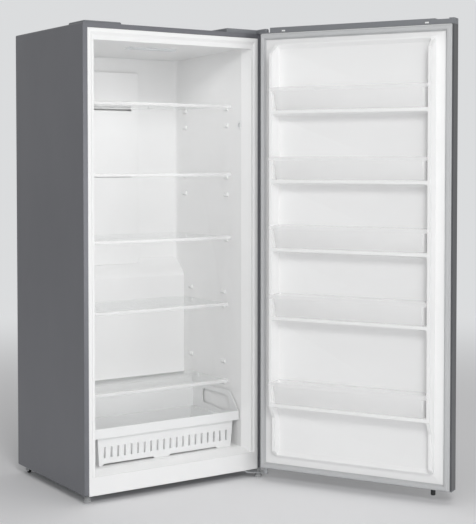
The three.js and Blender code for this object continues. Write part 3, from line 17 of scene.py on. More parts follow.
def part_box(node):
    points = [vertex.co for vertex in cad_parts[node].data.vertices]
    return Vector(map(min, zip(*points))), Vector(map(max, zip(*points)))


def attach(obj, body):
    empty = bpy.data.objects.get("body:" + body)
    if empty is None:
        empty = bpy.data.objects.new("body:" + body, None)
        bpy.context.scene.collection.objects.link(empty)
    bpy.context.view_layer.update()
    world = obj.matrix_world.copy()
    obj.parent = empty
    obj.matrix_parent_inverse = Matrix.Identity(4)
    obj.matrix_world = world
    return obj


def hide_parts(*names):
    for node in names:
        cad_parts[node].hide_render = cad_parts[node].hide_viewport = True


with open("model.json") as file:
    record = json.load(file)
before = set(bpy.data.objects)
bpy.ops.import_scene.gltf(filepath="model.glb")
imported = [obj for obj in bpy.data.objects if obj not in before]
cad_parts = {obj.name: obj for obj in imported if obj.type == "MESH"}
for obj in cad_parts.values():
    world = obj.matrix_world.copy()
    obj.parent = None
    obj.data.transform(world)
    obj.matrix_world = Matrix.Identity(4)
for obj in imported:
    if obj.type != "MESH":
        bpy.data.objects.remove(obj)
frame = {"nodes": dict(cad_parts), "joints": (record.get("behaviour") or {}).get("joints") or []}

log = logging.getLogger("freezer")
Socket = bpy.types.NodeSocket
Tree = bpy.types.NodeTree
MM = 0.001


# ---- Places ----


class Place:
    """Where the cabinet and its door stand in the frame."""

    def __init__(self) -> None:
        """Reads the case's corner and the door's hinge from the frame."""
        low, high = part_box("outer_case")
        joint = next(j for j in frame["joints"] if j["name"] == "door_hinge")
        self.middle = (low.x + high.x) / 2
        self.front = low.y
        self.hinge = Vector(joint["pos_m"])
        self.swing = -math.radians(joint["range_deg"][0])

    def cabinet(self) -> Matrix:
        """Takes a point measured from the cabinet's middle and front flange to the frame."""
        return Matrix.Translation((self.middle, self.front, 0))

    def door(self) -> Matrix:
        """Takes a point of the closed door, measured as the cabinet's are, to the open door."""
        axis = Vector((self.hinge.x, self.hinge.y, 0))
        turn = Matrix.Rotation(self.swing, 4, "Z")
        return Matrix.Translation(axis) @ turn @ Matrix.Translation(-axis) @ self.cabinet()

    def box(self, node: str) -> tuple[Vector, Vector]:
        """Gives a cabinet node's corners, measured from the cabinet's middle and front, in millimetres."""
        return self._corners(node, self.cabinet())

    def closed_box(self, node: str) -> tuple[Vector, Vector]:
        """Gives a door node's corners with the door closed, measured as the cabinet's are, in millimetres."""
        return self._corners(node, self.door())

    @staticmethod
    def _corners(node: str, matrix: Matrix) -> tuple[Vector, Vector]:
        """Finds a node's lowest and highest corner in a turned frame.

        Args:
            node: The CAD node.
            matrix: What takes that frame to the model's.

        Returns:
            The two corners in millimetres.
        """
        back = matrix.inverted()
        points = [(back @ v.co) / MM for v in frame["nodes"][node].data.vertices]
        low = Vector(min(p[i] for p in points) for i in range(3))
        return low, Vector(max(p[i] for p in points) for i in range(3))


# ---- Materials ----


class Graph:
    """A node tree with short calls that add and join its nodes."""

    def __init__(self, tree: Tree) -> None:
        """Keeps the tree and takes out what stands in it."""
        self.tree = tree
        tree.nodes.clear()

    def add(self, kind: str, values: dict | None = None, **settings: object) -> bpy.types.Node:
        """Adds a node.

        Args:
            kind: The node's type.
            values: Values for its input sockets, by name or number.
            settings: Values for the node's own properties.

        Returns:
            The new node.
        """
        node = self.tree.nodes.new(kind)
        for name, value in settings.items():
            setattr(node, name, value)
        for name, value in (values or {}).items():
            node.inputs[name].default_value = value
        return node

    def join(self, source: Socket, target: Socket) -> None:
        """Links an output to an input."""
        self.tree.links.new(source, target)


def linear(colour: Sequence[float]) -> tuple[float, float, float, float]:
    """Turns a colour as a screen shows it into scene-linear values with full alpha."""
    parts = [c / 12.92 if c <= 0.04045 else ((c + 0.055) / 1.055) ** 2.4 for c in colour[:3]]
    return (*parts, 1.0)


class Effects:
    """Shader node groups that several finishes share. Each is built once."""

    WIPES = (7.0, 7.0, 1.6)  # streaks of wiping per metre along each axis

    def __init__(self) -> None:
        """Builds all the groups."""
        self.drift = self._drift()
        self.grain = self._grain()
        self.touch = self._touch()
        self.easing = self._easing()

    @staticmethod
    def _group(name: str, inputs: dict[str, object], outputs: dict[str, str]) -> tuple[Tree, Graph]:
        """Makes an empty group.

        Args:
            name: The group's name.
            inputs: Its inputs: a number, a colour of four, or None for a vector.
            outputs: Its outputs' names and socket types.

        Returns:
            The group and its graph.
        """
        tree = bpy.data.node_groups.new(name, "ShaderNodeTree")
        for label, value in inputs.items():
            kind = "Vector" if value is None else "Float" if isinstance(value, float) else "Color"
            socket = tree.interface.new_socket(label, in_out="INPUT", socket_type=f"NodeSocket{kind}")
            if value is not None:
                socket.default_value = value
        for label, kind in outputs.items():
            tree.interface.new_socket(label, in_out="OUTPUT", socket_type=f"NodeSocket{kind}")
        return tree, Graph(tree)

    def _drift(self) -> Tree:
        """Slow changes of colour, as in any large painted or moulded face."""
        white = (1.0, 1.0, 1.0, 1.0)
        tree, graph = self._group(
            "colour drift",
            {"Vector": None, "Light": white, "Dark": white, "Scale": 3.0},
            {"Color": "Color"},
        )
        given, out = graph.add("NodeGroupInput"), graph.add("NodeGroupOutput")
        noise = graph.add("ShaderNodeTexNoise", {"Detail": 3.0, "Roughness": 0.55})
        spread = graph.add("ShaderNodeMapRange", {"From Min": 0.3, "From Max": 0.7})
        mix = graph.add("ShaderNodeMix", data_type="RGBA")
        graph.join(given.outputs["Vector"], noise.inputs["Vector"])
        graph.join(given.outputs["Scale"], noise.inputs["Scale"])
        graph.join(noise.outputs["Fac"], spread.inputs["Value"])
        graph.join(spread.outputs["Result"], mix.inputs["Factor"])
        graph.join(given.outputs["Dark"], mix.inputs["A"])
        graph.join(given.outputs["Light"], mix.inputs["B"])
        graph.join(mix.outputs["Result"], out.inputs["Color"])
        return tree

    def _grain(self) -> Tree:
        """Fine relief: rounded bumps of one size over finer ones."""
        tree, graph = self._group(
            "fine relief", {"Vector": None, "Scale": 900.0, "Roughness": 0.5}, {"Height": "Float"}
        )
        given, out = graph.add("NodeGroupInput"), graph.add("NodeGroupOutput")
        noise = graph.add("ShaderNodeTexNoise", {"Detail": 2.0})
        cells = graph.add("ShaderNodeTexVoronoi", feature="SMOOTH_F1")
        blend = graph.add("ShaderNodeMix", {"Factor": 0.35})
        graph.join(given.outputs["Vector"], noise.inputs["Vector"])
        graph.join(given.outputs["Vector"], cells.inputs["Vector"])
        graph.join(given.outputs["Scale"], noise.inputs["Scale"])
        graph.join(given.outputs["Scale"], cells.inputs["Scale"])
        graph.join(given.outputs["Roughness"], noise.inputs["Roughness"])
        graph.join(noise.outputs["Fac"], blend.inputs["A"])
        graph.join(cells.outputs["Distance"], blend.inputs["B"])
        graph.join(blend.outputs["Result"], out.inputs["Height"])
        return tree

    def _touch(self) -> Tree:
        """Faint marks of wiping and handling: streaks that change the gloss."""
        tree, graph = self._group(
            "wiped gloss", {"Vector": None, "Gloss": 0.4, "Spread": 0.05}, {"Roughness": "Float"}
        )
        given, out = graph.add("NodeGroupInput"), graph.add("NodeGroupOutput")
        stretch = graph.add("ShaderNodeMapping")
        stretch.inputs["Scale"].default_value = self.WIPES
        noise = graph.add("ShaderNodeTexNoise", {"Scale": 1.0, "Detail": 5.0, "Roughness": 0.6})
        centre = graph.add("ShaderNodeMath", {1: 0.5}, operation="SUBTRACT")
        scaled = graph.add("ShaderNodeMath", operation="MULTIPLY")
        total = graph.add("ShaderNodeMath", operation="ADD", use_clamp=True)
        graph.join(given.outputs["Vector"], stretch.inputs["Vector"])
        graph.join(stretch.outputs["Vector"], noise.inputs["Vector"])
        graph.join(noise.outputs["Fac"], centre.inputs[0])
        graph.join(centre.outputs[0], scaled.inputs[0])
        graph.join(given.outputs["Spread"], scaled.inputs[1])
        graph.join(scaled.outputs[0], total.inputs[0])
        graph.join(given.outputs["Gloss"], total.inputs[1])
        graph.join(total.outputs[0], out.inputs["Roughness"])
        return tree

    def _easing(self) -> Tree:
        """Edges that look eased, and a mask of where they are."""
        tree, graph = self._group(
            "eased edges", {"Radius": 0.001}, {"Normal": "Vector", "Edge": "Float"}
        )
        given, out = graph.add("NodeGroupInput"), graph.add("NodeGroupOutput")
        bevel = graph.add("ShaderNodeBevel", samples=6)
        flat = graph.add("ShaderNodeNewGeometry")
        dot = graph.add("ShaderNodeVectorMath", operation="DOT_PRODUCT")
        turn = graph.add("ShaderNodeMath", {0: 1.0}, operation="SUBTRACT", use_clamp=True)
        graph.join(given.outputs["Radius"], bevel.inputs["Radius"])
        graph.join(bevel.outputs["Normal"], dot.inputs[0])
        graph.join(flat.outputs["True Normal"], dot.inputs[1])
        graph.join(dot.outputs["Value"], turn.inputs[1])
        graph.join(bevel.outputs["Normal"], out.inputs["Normal"])
        graph.join(turn.outputs[0], out.inputs["Edge"])
        return tree


class Surface(Enum):
    """What kind of surface a finish has."""

    PAINTED = "rolled paint with a faint peel"
    MOULDED = "moulded plastic"
    ZINCED = "zinc crystals"
    DRAWN = "lines along one way"
    CAST = "coarse grain"
    CLEAR = "smooth and see-through"


DRIFT_SCALE = 2.2  # patches of colour per metre
GLOSS_SPREAD = 0.12  # how far wiping changes the roughness
BUMP_STRENGTH = 0.35
DRAWN_STRETCH = 0.04  # how much slower the relief of drawn metal changes along its lines
ZINC_CELLS = 140.0  # crystals per metre
ZINC_TONES = (0.9, 1.03)  # darkest and lightest crystal
EDGE_FULL = 0.3  # turn of the normal at which an edge has its full tone
SLANT_BLEND = 0.35  # how soon a clear surface turns denser at a slant


@dataclass(frozen=True)
class Finish:
    """One finish of the freezer, as a procedural material.

    Lengths are in millimetres. The slot is the record's. Drift is how far the colour strays, and the edge
    share how
    much lighter edges are, as shares: partly wear, partly a painted highlight where edges catch light. Clarity
    is the share of light that a clear finish lets fall through.
    """

    name: str
    slot: str
    colour: tuple[float, float, float]
    roughness: float
    surface: Surface = Surface.MOULDED
    metallic: float = 0.0
    drift: float = 0.01
    relief: float = 0.02
    grain: float = 1.0
    radius: float = 1.2
    coat: float = 0.0
    coat_roughness: float = 0.15
    edge_wear_and_highlight: float = 0.06
    opacity: float = 1.0
    slant_opacity: float = 1.0
    clarity: float = 0.9

    def material(self, effects: Effects) -> bpy.types.Material:
        """Builds the material.

        Args:
            effects: The shared node groups.

        Returns:
            The material, with all its patterns on object coordinates.
        """
        made = bpy.data.materials.new(self.name)
        made.use_nodes = True
        graph = Graph(made.node_tree)
        out = graph.add("ShaderNodeOutputMaterial")
        shader = graph.add("ShaderNodeBsdfPrincipled")
        shader.inputs["Metallic"].default_value = self.metallic
        shader.inputs["Coat Weight"].default_value = self.coat
        shader.inputs["Coat Roughness"].default_value = self.coat_roughness
        graph.join(shader.outputs["BSDF"], out.inputs["Surface"])
        place = graph.add("ShaderNodeTexCoord")
        vector = place.outputs["Object"]
        self._colour(graph, effects, vector, shader)
        self._gloss(graph, effects, vector, shader)
        self._relief(graph, effects, vector, shader)
        if self.surface is Surface.CLEAR:
            self._clear(graph, shader)
            made.surface_render_method = "DITHERED"
        return made

    def _tone(self, gain: float) -> tuple[float, float, float, float]:
        """The finish's colour, lighter or darker by a share."""
        return linear([min(max(c * (1 + gain), 0.0), 1.0) for c in self.colour])

    def _colour(self, graph: Graph, effects: Effects, vector: Socket, shader: bpy.types.Node) -> None:
        """Gives the base colour its drift, its crystals and its lighter edges, which are partly wear and
        partly a painted highlight.
        """
        drift = graph.add("ShaderNodeGroup", node_tree=effects.drift)
        drift.inputs["Light"].default_value = self._tone(self.drift)
        drift.inputs["Dark"].default_value = self._tone(-self.drift)
        drift.inputs["Scale"].default_value = DRIFT_SCALE
        graph.join(vector, drift.inputs["Vector"])
        colour = drift.outputs["Color"]
        if self.surface is Surface.ZINCED:
            cells = graph.add("ShaderNodeTexVoronoi", {"Scale": ZINC_CELLS, "Randomness": 1.0})
            grey = graph.add("ShaderNodeMapRange", {"To Min": ZINC_TONES[0], "To Max": ZINC_TONES[1]})
            tint = graph.add("ShaderNodeMix", {"Factor": 1.0}, data_type="RGBA", blend_type="MULTIPLY")
            split = graph.add("ShaderNodeSeparateColor")
            graph.join(vector, cells.inputs["Vector"])
            graph.join(cells.outputs["Color"], split.inputs["Color"])
            graph.join(split.outputs["Red"], grey.inputs["Value"])
            graph.join(colour, tint.inputs["A"])
            graph.join(grey.outputs["Result"], tint.inputs["B"])
            colour = tint.outputs["Result"]
        if self.surface is not Surface.CLEAR:
            # Lighter edges: partly wear, partly a painted highlight where edges catch the light.
            eased = graph.add("ShaderNodeGroup", {"Radius": self.radius * MM}, node_tree=effects.easing)
            wear_and_highlight = graph.add("ShaderNodeMapRange", {"From Max": EDGE_FULL, "To Max": 1.0})
            mix = graph.add("ShaderNodeMix", data_type="RGBA")
            mix.inputs["B"].default_value = self._tone(self.edge_wear_and_highlight)
            graph.join(eased.outputs["Edge"], wear_and_highlight.inputs["Value"])
            graph.join(wear_and_highlight.outputs["Result"], mix.inputs["Factor"])
            graph.join(colour, mix.inputs["A"])
            colour = mix.outputs["Result"]
        graph.join(colour, shader.inputs["Base Color"])

    def _gloss(self, graph: Graph, effects: Effects, vector: Socket, shader: bpy.types.Node) -> None:
        """Varies the roughness as wiping does."""
        touch = graph.add("ShaderNodeGroup", node_tree=effects.touch)
        touch.inputs["Gloss"].default_value = self.roughness
        touch.inputs["Spread"].default_value = GLOSS_SPREAD
        graph.join(vector, touch.inputs["Vector"])
        graph.join(touch.outputs["Roughness"], shader.inputs["Roughness"])

    def _relief(self, graph: Graph, effects: Effects, vector: Socket, shader: bpy.types.Node) -> None:
        """Puts the fine relief over edges that look eased."""
        grain = graph.add("ShaderNodeGroup", node_tree=effects.grain)
        grain.inputs["Scale"].default_value = 1 / (self.grain * MM)
        if self.surface is Surface.DRAWN:
            stretch = graph.add("ShaderNodeMapping")
            stretch.inputs["Scale"].default_value = (1.0, 1.0, DRAWN_STRETCH)
            graph.join(vector, stretch.inputs["Vector"])
            vector = stretch.outputs["Vector"]
        graph.join(vector, grain.inputs["Vector"])
        bump = graph.add("ShaderNodeBump", {"Strength": BUMP_STRENGTH, "Distance": self.relief * MM})
        graph.join(grain.outputs["Height"], bump.inputs["Height"])
        if self.surface is not Surface.CLEAR:
            eased = graph.add("ShaderNodeGroup", {"Radius": self.radius * MM}, node_tree=effects.easing)
            graph.join(eased.outputs["Normal"], bump.inputs["Normal"])
        graph.join(bump.outputs["Normal"], shader.inputs["Normal"])

    def _clear(self, graph: Graph, shader: bpy.types.Node) -> None:
        """Makes the surface see-through, less so at a slant, and lets light fall through it."""
        slant = graph.add("ShaderNodeLayerWeight", {"Blend": SLANT_BLEND})
        opacity = graph.add(
            "ShaderNodeMapRange", {"To Min": self.opacity, "To Max": self.slant_opacity}
        )
        path = graph.add("ShaderNodeLightPath")
        passing = graph.add("ShaderNodeMath", operation="MAXIMUM")
        kept = graph.add("ShaderNodeMapRange", {"To Min": 1.0, "To Max": 1 - self.clarity})
        alpha = graph.add("ShaderNodeMath", operation="MULTIPLY")
        graph.join(slant.outputs["Facing"], opacity.inputs["Value"])
        graph.join(path.outputs["Is Shadow Ray"], passing.inputs[0])
        graph.join(path.outputs["Is Diffuse Ray"], passing.inputs[1])
        graph.join(passing.outputs[0], kept.inputs["Value"])
        graph.join(opacity.outputs["Result"], alpha.inputs[0])
        graph.join(kept.outputs["Result"], alpha.inputs[1])
        graph.join(alpha.outputs[0], shader.inputs["Alpha"])


CASE_PAINT = Finish(
    "case_paint", "case_paint", (0.49, 0.495, 0.515), 0.4, Surface.PAINTED,
    metallic=0.55, drift=0.015, relief=0.03, grain=2.4, radius=2.0, coat=0.1,
)
DOOR_STEEL = Finish(
    "door_steel", "door_steel", (0.39, 0.395, 0.405), 0.34, Surface.DRAWN,
    metallic=0.5, drift=0.02, relief=0.015, grain=0.7, radius=2.0, coat=0.1,
)
BARE_STEEL = Finish(
    "bare_steel", "bare_steel", (0.74, 0.75, 0.76), 0.38, Surface.ZINCED,
    metallic=0.85, drift=0.03, relief=0.01, grain=1.5, radius=0.8,
)
LINER_WHITE = Finish(
    "liner_plastic", "liner_plastic", (0.966, 0.967, 0.966), 0.44,
    drift=0.006, relief=0.012, grain=1.6, radius=3.0, coat=0.08, coat_roughness=0.3, edge_wear_and_highlight=0.02,
)
PART_WHITE = Finish(
    "white_plastic", "white_plastic", (0.95, 0.953, 0.953), 0.4,
    drift=0.006, relief=0.01, radius=1.5, coat=0.08, coat_roughness=0.3, edge_wear_and_highlight=0.03,
)
SWITCH_WHITE = Finish("switch_plastic", "grey_plastic", (0.83, 0.835, 0.84), 0.4, drift=0.01, relief=0.01)
TRIM_CLEAR = Finish(
    "trim_plastic", "white_plastic", (0.96, 0.96, 0.96), 0.16, Surface.CLEAR,
    drift=0.004, relief=0.002, grain=6.0, coat=0.3, opacity=0.68, slant_opacity=0.9,
)
BIN_CLEAR = Finish(
    "clear_plastic", "clear_plastic", (0.965, 0.965, 0.965), 0.14, Surface.CLEAR,
    drift=0.004, relief=0.004, grain=3.0, coat=0.4, opacity=0.34, slant_opacity=0.75, clarity=0.97,
)
LAMP_CLEAR = Finish(
    "lamp_plastic", "clear_plastic", (0.93, 0.94, 0.95), 0.3, Surface.CLEAR,
    drift=0.004, relief=0.006, opacity=0.6, slant_opacity=0.9,
)
SHELF_GLASS = Finish(
    "shelf_glass", "shelf_glass", (0.95, 0.962, 0.96), 0.03, Surface.CLEAR,
    drift=0.003, relief=0.002, grain=6.0, opacity=0.07, slant_opacity=0.5, clarity=0.97,
)
GREY_PLASTIC = Finish("grey_plastic", "grey_plastic", (0.64, 0.645, 0.65), 0.45, drift=0.02, relief=0.02)
CAP_PLASTIC = Finish(
    "cap_plastic", "cap_plastic", (0.5, 0.51, 0.525), 0.48, drift=0.015, relief=0.04, grain=0.7, radius=1.6
)
BLACK_PLASTIC = Finish(
    "black_plastic", "black_plastic", (0.13, 0.135, 0.14), 0.5, drift=0.05, relief=0.04, grain=0.8
)
GASKET_GREY = Finish(
    "gasket_rubber", "gasket_rubber", (0.77, 0.775, 0.78), 0.55, drift=0.012, relief=0.02, radius=1.5
)
BLACK_RUBBER = Finish("rubber", "rubber", (0.09, 0.09, 0.092), 0.7, Surface.CAST, drift=0.06, relief=0.05)
ALUMINIUM = Finish(
    "aluminium", "aluminium", (0.8, 0.81, 0.82), 0.3, Surface.DRAWN,
    metallic=0.95, drift=0.03, relief=0.01, grain=0.5, radius=0.6,
)
COPPER = Finish(
    "copper", "copper", (0.74, 0.46, 0.33), 0.3, Surface.DRAWN,
    metallic=0.95, drift=0.08, relief=0.01, grain=0.6, radius=0.6,
)
BLACK_PAINT = Finish(
    "black_paint", "black_paint", (0.07, 0.07, 0.075), 0.25, Surface.PAINTED,
    drift=0.05, relief=0.05, grain=2.0, radius=2.0, coat=0.4,
)
FOAM = Finish("foam", "foam", (0.9, 0.85, 0.68), 0.9, Surface.CAST, drift=0.06, relief=0.3, grain=1.2)
SCREW_STEEL = Finish(
    "screw_steel", "bare_steel", (0.7, 0.7, 0.71), 0.3, Surface.PAINTED,
    metallic=0.9, drift=0.03, relief=0.005, radius=0.3,
)

FINISHES = (
    CASE_PAINT, DOOR_STEEL, BARE_STEEL, LINER_WHITE, PART_WHITE, SWITCH_WHITE, TRIM_CLEAR,
    BIN_CLEAR, LAMP_CLEAR, SHELF_GLASS, GREY_PLASTIC, CAP_PLASTIC, BLACK_PLASTIC, GASKET_GREY,
    BLACK_RUBBER, ALUMINIUM, COPPER, BLACK_PAINT, FOAM, SCREW_STEEL,
)


class Palette:
    """All the finishes as materials, by name."""

    def __init__(self) -> None:
        """Builds the shared effects and then each material."""
        effects = Effects()
        self.made = {finish.name: finish.material(effects) for finish in FINISHES}

    def dress(self, piece: bpy.types.Object, finish: Finish) -> None:
        """Gives a piece or a CAD node one finish."""
        piece.data.materials.clear()
        piece.data.materials.append(self.made[finish.name])

    def dress_nodes(self, finish: Finish, *nodes: str) -> None:
        """Gives CAD nodes one finish."""
        for node in nodes:
            self.dress(frame["nodes"][node], finish)

    def settle(self, piece: bpy.types.Object, body: str, finish: Finish) -> None:
        """Dresses a finished piece and says what it moves with.

        Args:
            piece: The piece, shaped and in its place.
            body: The body it rides on.
            finish: Its finish.
        """
        self.dress(piece, finish)
        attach(piece, body)


# ---- Modelling ----

ALONG = 0.9  # least cosine at which a face or an edge counts as looking or running one way
SHARP = 30.0  # edges sharper than this are rounded, in degrees
DRAFTED = 22.0  # the same for the liners, whose walls lean
CORNER_STEPS = 4


class Bench:
    """The steps with which each sub-assembly shapes its pieces. Sizes are in millimetres."""

    @staticmethod
    def only(*pieces: bpy.types.Object) -> None:
        """Selects these objects and nothing else, and makes the last one active."""
        bpy.ops.object.select_all(action="DESELECT")
        for piece in pieces:
            piece.select_set(True)
            bpy.context.view_layer.objects.active = piece

    @staticmethod
    @contextmanager
    def editing(piece: bpy.types.Object) -> Iterator[None]:
        """Opens a piece in edit mode with nothing selected, and closes it again."""
        Bench.only(piece)
        bpy.ops.object.mode_set(mode="EDIT")
        bpy.ops.mesh.select_mode(type="FACE")
        bpy.ops.mesh.select_all(action="DESELECT")
        try:
            yield
        finally:
            bpy.ops.object.mode_set(mode="OBJECT")

    @staticmethod
    def pick(piece: bpy.types.Object, test: Callable[[Vector], bool]) -> None:
        """Selects the faces that pass a test of their normal.

        Args:
            piece: The object in edit mode.
            test: Says whether a face with this normal is wanted.
        """
        mesh = bmesh.from_edit_mesh(piece.data)
        for face in mesh.faces:
            face.select_set(False)
        for face in [f for f in mesh.faces if test(f.normal)]:
            face.select_set(True)
        bmesh.update_edit_mesh(piece.data)

    @staticmethod
    def inset(thickness: float) -> None:
        """Insets the selected faces as one region."""
        bpy.ops.mesh.inset(thickness=thickness * MM, depth=0.0, use_even_offset=True)

    @staticmethod
    def block(name: str, low: Sequence[float], high: Sequence[float]) -> bpy.types.Object:
        """Adds a cube stretched between two corners."""
        bpy.ops.object.select_all(action="DESELECT")
        centre = [(a + b) / 2 * MM for a, b in zip(low, high)]
        size = [(b - a) * MM for a, b in zip(low, high)]
        bpy.ops.mesh.primitive_cube_add(size=1, location=centre)
        piece = bpy.context.object
        piece.name = piece.data.name = name
        piece.scale = size
        bpy.ops.object.transform_apply(location=True, rotation=True, scale=True)
        return piece

    @staticmethod
    def drum(name: str, radius: float, height: float, sides: int) -> bpy.types.Object:
        """Adds an upright cylinder that stands on the origin."""
        bpy.ops.object.select_all(action="DESELECT")
        bpy.ops.mesh.primitive_cylinder_add(
            vertices=sides, radius=radius * MM, depth=height * MM, location=(0, 0, height / 2 * MM)
        )
        piece = bpy.context.object
        piece.name = piece.data.name = name
        bpy.ops.object.transform_apply(location=True, rotation=True, scale=True)
        return piece

    @staticmethod
    def bevel(piece: bpy.types.Object, width: float, segments: int = 2, angle: float = SHARP) -> None:
        """Rounds all edges sharper than an angle, and keeps the flat faces' shading flat."""
        Bench.smooth(piece, angle)
        bpy.ops.object.modifier_add(type="BEVEL")
        step = piece.modifiers[-1]
        step.width = width * MM
        step.segments = segments
        step.limit_method = "ANGLE"
        step.angle_limit = math.radians(angle)
        step.use_clamp_overlap = True
        step.harden_normals = True
        bpy.ops.object.modifier_apply(modifier=step.name)

    @staticmethod
    def round_upright(piece: bpy.types.Object, radius: float, shortest: float) -> None:
        """Rounds a piece's sharp upright edges.

        Args:
            piece: The piece, with its faces merged.
            radius: The rounding in millimetres.
            shortest: Edges shorter than this stay, in millimetres.
        """
        with Bench.editing(piece):
            bpy.ops.mesh.select_mode(type="EDGE")
            mesh = bmesh.from_edit_mesh(piece.data)
            for edge in mesh.edges:
                way = (edge.verts[1].co - edge.verts[0].co) / MM
                upright = way.length > shortest and abs(way.z) > ALONG * way.length
                edge.select_set(upright and edge.calc_face_angle(0.0) > math.radians(SHARP))
            bmesh.update_edit_mesh(piece.data)
            bpy.ops.mesh.bevel(offset=radius * MM, segments=CORNER_STEPS, affect="EDGES")

    @staticmethod
    def carve(piece: bpy.types.Object, tool: bpy.types.Object) -> None:
        """Cuts a tool out of a piece and removes the tool."""
        Bench.only(piece)
        bpy.ops.object.modifier_add(type="BOOLEAN")
        step = piece.modifiers[-1]
        step.operation = "DIFFERENCE"
        step.solver = "EXACT"
        step.object = tool
        bpy.ops.object.modifier_apply(modifier=step.name)
        bpy.data.objects.remove(tool, do_unlink=True)

    @staticmethod
    def smooth(piece: bpy.types.Object, angle: float) -> None:
        """Shades a piece smooth up to an angle between faces."""
        Bench.only(piece)
        bpy.ops.object.shade_smooth_by_angle(angle=math.radians(angle))

    @staticmethod
    def move(piece: bpy.types.Object, matrix: Matrix) -> None:
        """Puts a piece where a matrix takes it, with its place in its mesh."""
        piece.data.transform(matrix)
        piece.data.update()

    @staticmethod
    def copy(piece: bpy.types.Object, name: str, matrix: Matrix | None = None) -> bpy.types.Object:
        """Adds a moved copy of a piece with a mesh of its own."""
        Bench.only(piece)
        bpy.ops.object.duplicate(linked=False)
        made = bpy.context.object
        made.name = made.data.name = name
        if matrix is not None:
            Bench.move(made, matrix)
        return made

    @staticmethod
    def join(name: str, pieces: Sequence[bpy.types.Object]) -> bpy.types.Object:
        """Joins pieces into the first one."""
        Bench.only(*pieces[1:], pieces[0])
        bpy.ops.object.join()
        pieces[0].name = pieces[0].data.name = name
        return pieces[0]


class Eased:
    """CAD nodes shown by copies of themselves with merged faces and rounded edges."""

    LONG = 60.0  # shortest upright edge that gets a corner's radius, in millimetres
    MERGE = 0.02  # corners closer than this become one, in millimetres
    FLAT = 1.0  # faces that lie flatter than this to each other are merged, in degrees

    def __init__(self, palette: Palette) -> None:
        """Keeps the palette."""
        self.palette = palette

    def show(
        self, node: str, body: str, finish: Finish, width: float, angle: float = SHARP, corner: float = 0.0
    ) -> None:
        """Copies a node, rounds the copy's edges and lets it stand for the node.

        Args:
            node: The CAD node.
            body: The body it rides on.
            finish: Its finish.
            width: The rounding's width in millimetres.
            angle: Edges sharper than this are rounded, in degrees.
            corner: The radius of its long upright edges, in millimetres, where they have one.
        """
        piece = Bench.copy(frame["nodes"][node], f"{node}_eased")
        with Bench.editing(piece):
            bpy.ops.mesh.select_all(action="SELECT")
            bpy.ops.mesh.remove_doubles(threshold=self.MERGE * MM)
            bpy.ops.mesh.tris_convert_to_quads(
                face_threshold=math.radians(self.FLAT), shape_threshold=math.pi
            )
        if corner:
            Bench.round_upright(piece, corner, self.LONG)
        Bench.bevel(piece, width, angle=angle)
        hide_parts(node)
        self.palette.settle(piece, body, finish)


class Screws:
    """Pan-head screws, modelled once and copied to their places. Sizes are in millimetres."""

    RADIUS = 4.2
    RISE = 2.4
    SIDES = 24
    RIM = 0.9
    CROWN = 0.5
    CROSS_WIDTH = 1.1
    CROSS_REACH = 0.55 * RADIUS
    CROSS_FLOOR = 0.45 * RISE
    OVERRUN = 2.0
    EASING = 0.2
    EASED_ABOVE = 40.0  # degrees

    def __init__(self, palette: Palette) -> None:
        """Models the first screw about its own axis, with its head towards +Z."""
        self.palette = palette
        self.model = Bench.drum("screw", self.RADIUS, self.RISE, self.SIDES)
        with Bench.editing(self.model):
            Bench.pick(self.model, lambda normal: normal.z > ALONG)
            Bench.inset(self.RIM)
            bpy.ops.transform.translate(value=(0, 0, self.CROWN * MM))
        low, high = self.CROSS_FLOOR, self.RISE + self.OVERRUN
        half, reach = self.CROSS_WIDTH / 2, self.CROSS_REACH
        arms = [
            Bench.block("arm", (-reach, -half, low), (reach, half, high)),
            Bench.block("arm", (-half, -reach, low), (half, reach, high)),
        ]
        for arm in arms:
            Bench.carve(self.model, arm)
        Bench.bevel(self.model, self.EASING, 1, self.EASED_ABOVE)

    def set(self, body: str, label: str, places: Sequence[Matrix]) -> None:
        """Puts a screw at each place as one piece.

        Args:
            body: The body that they ride on.
            label: The piece's name.
            places: What takes a screw from its own axis to each place.
        """
        copies = [Bench.copy(self.model, f"{label}_{i}", place) for i, place in enumerate(places)]
        self.palette.settle(Bench.join(label, copies), body, SCREW_STEEL)

    def finish(self) -> None:
        """Removes the model that the copies came from."""
        bpy.data.objects.remove(self.model, do_unlink=True)


# ---- Studio ----


@dataclass(frozen=True)
class Lamp:
    """A soft disk lamp: its place and width in metres and its power in watts."""

    name: str
    at: tuple[float, float, float]
    size: float
    power: float

    def hang(self) -> bpy.types.Object:
        """Adds the lamp, shining down, and returns it."""
        data = bpy.data.lights.new(self.name, "AREA")
        data.shape = "DISK"
        data.size = self.size
        data.energy = self.power
        lamp = bpy.data.objects.new(self.name, data)
        bpy.context.scene.collection.objects.link(lamp)
        lamp.location = self.at
        return lamp


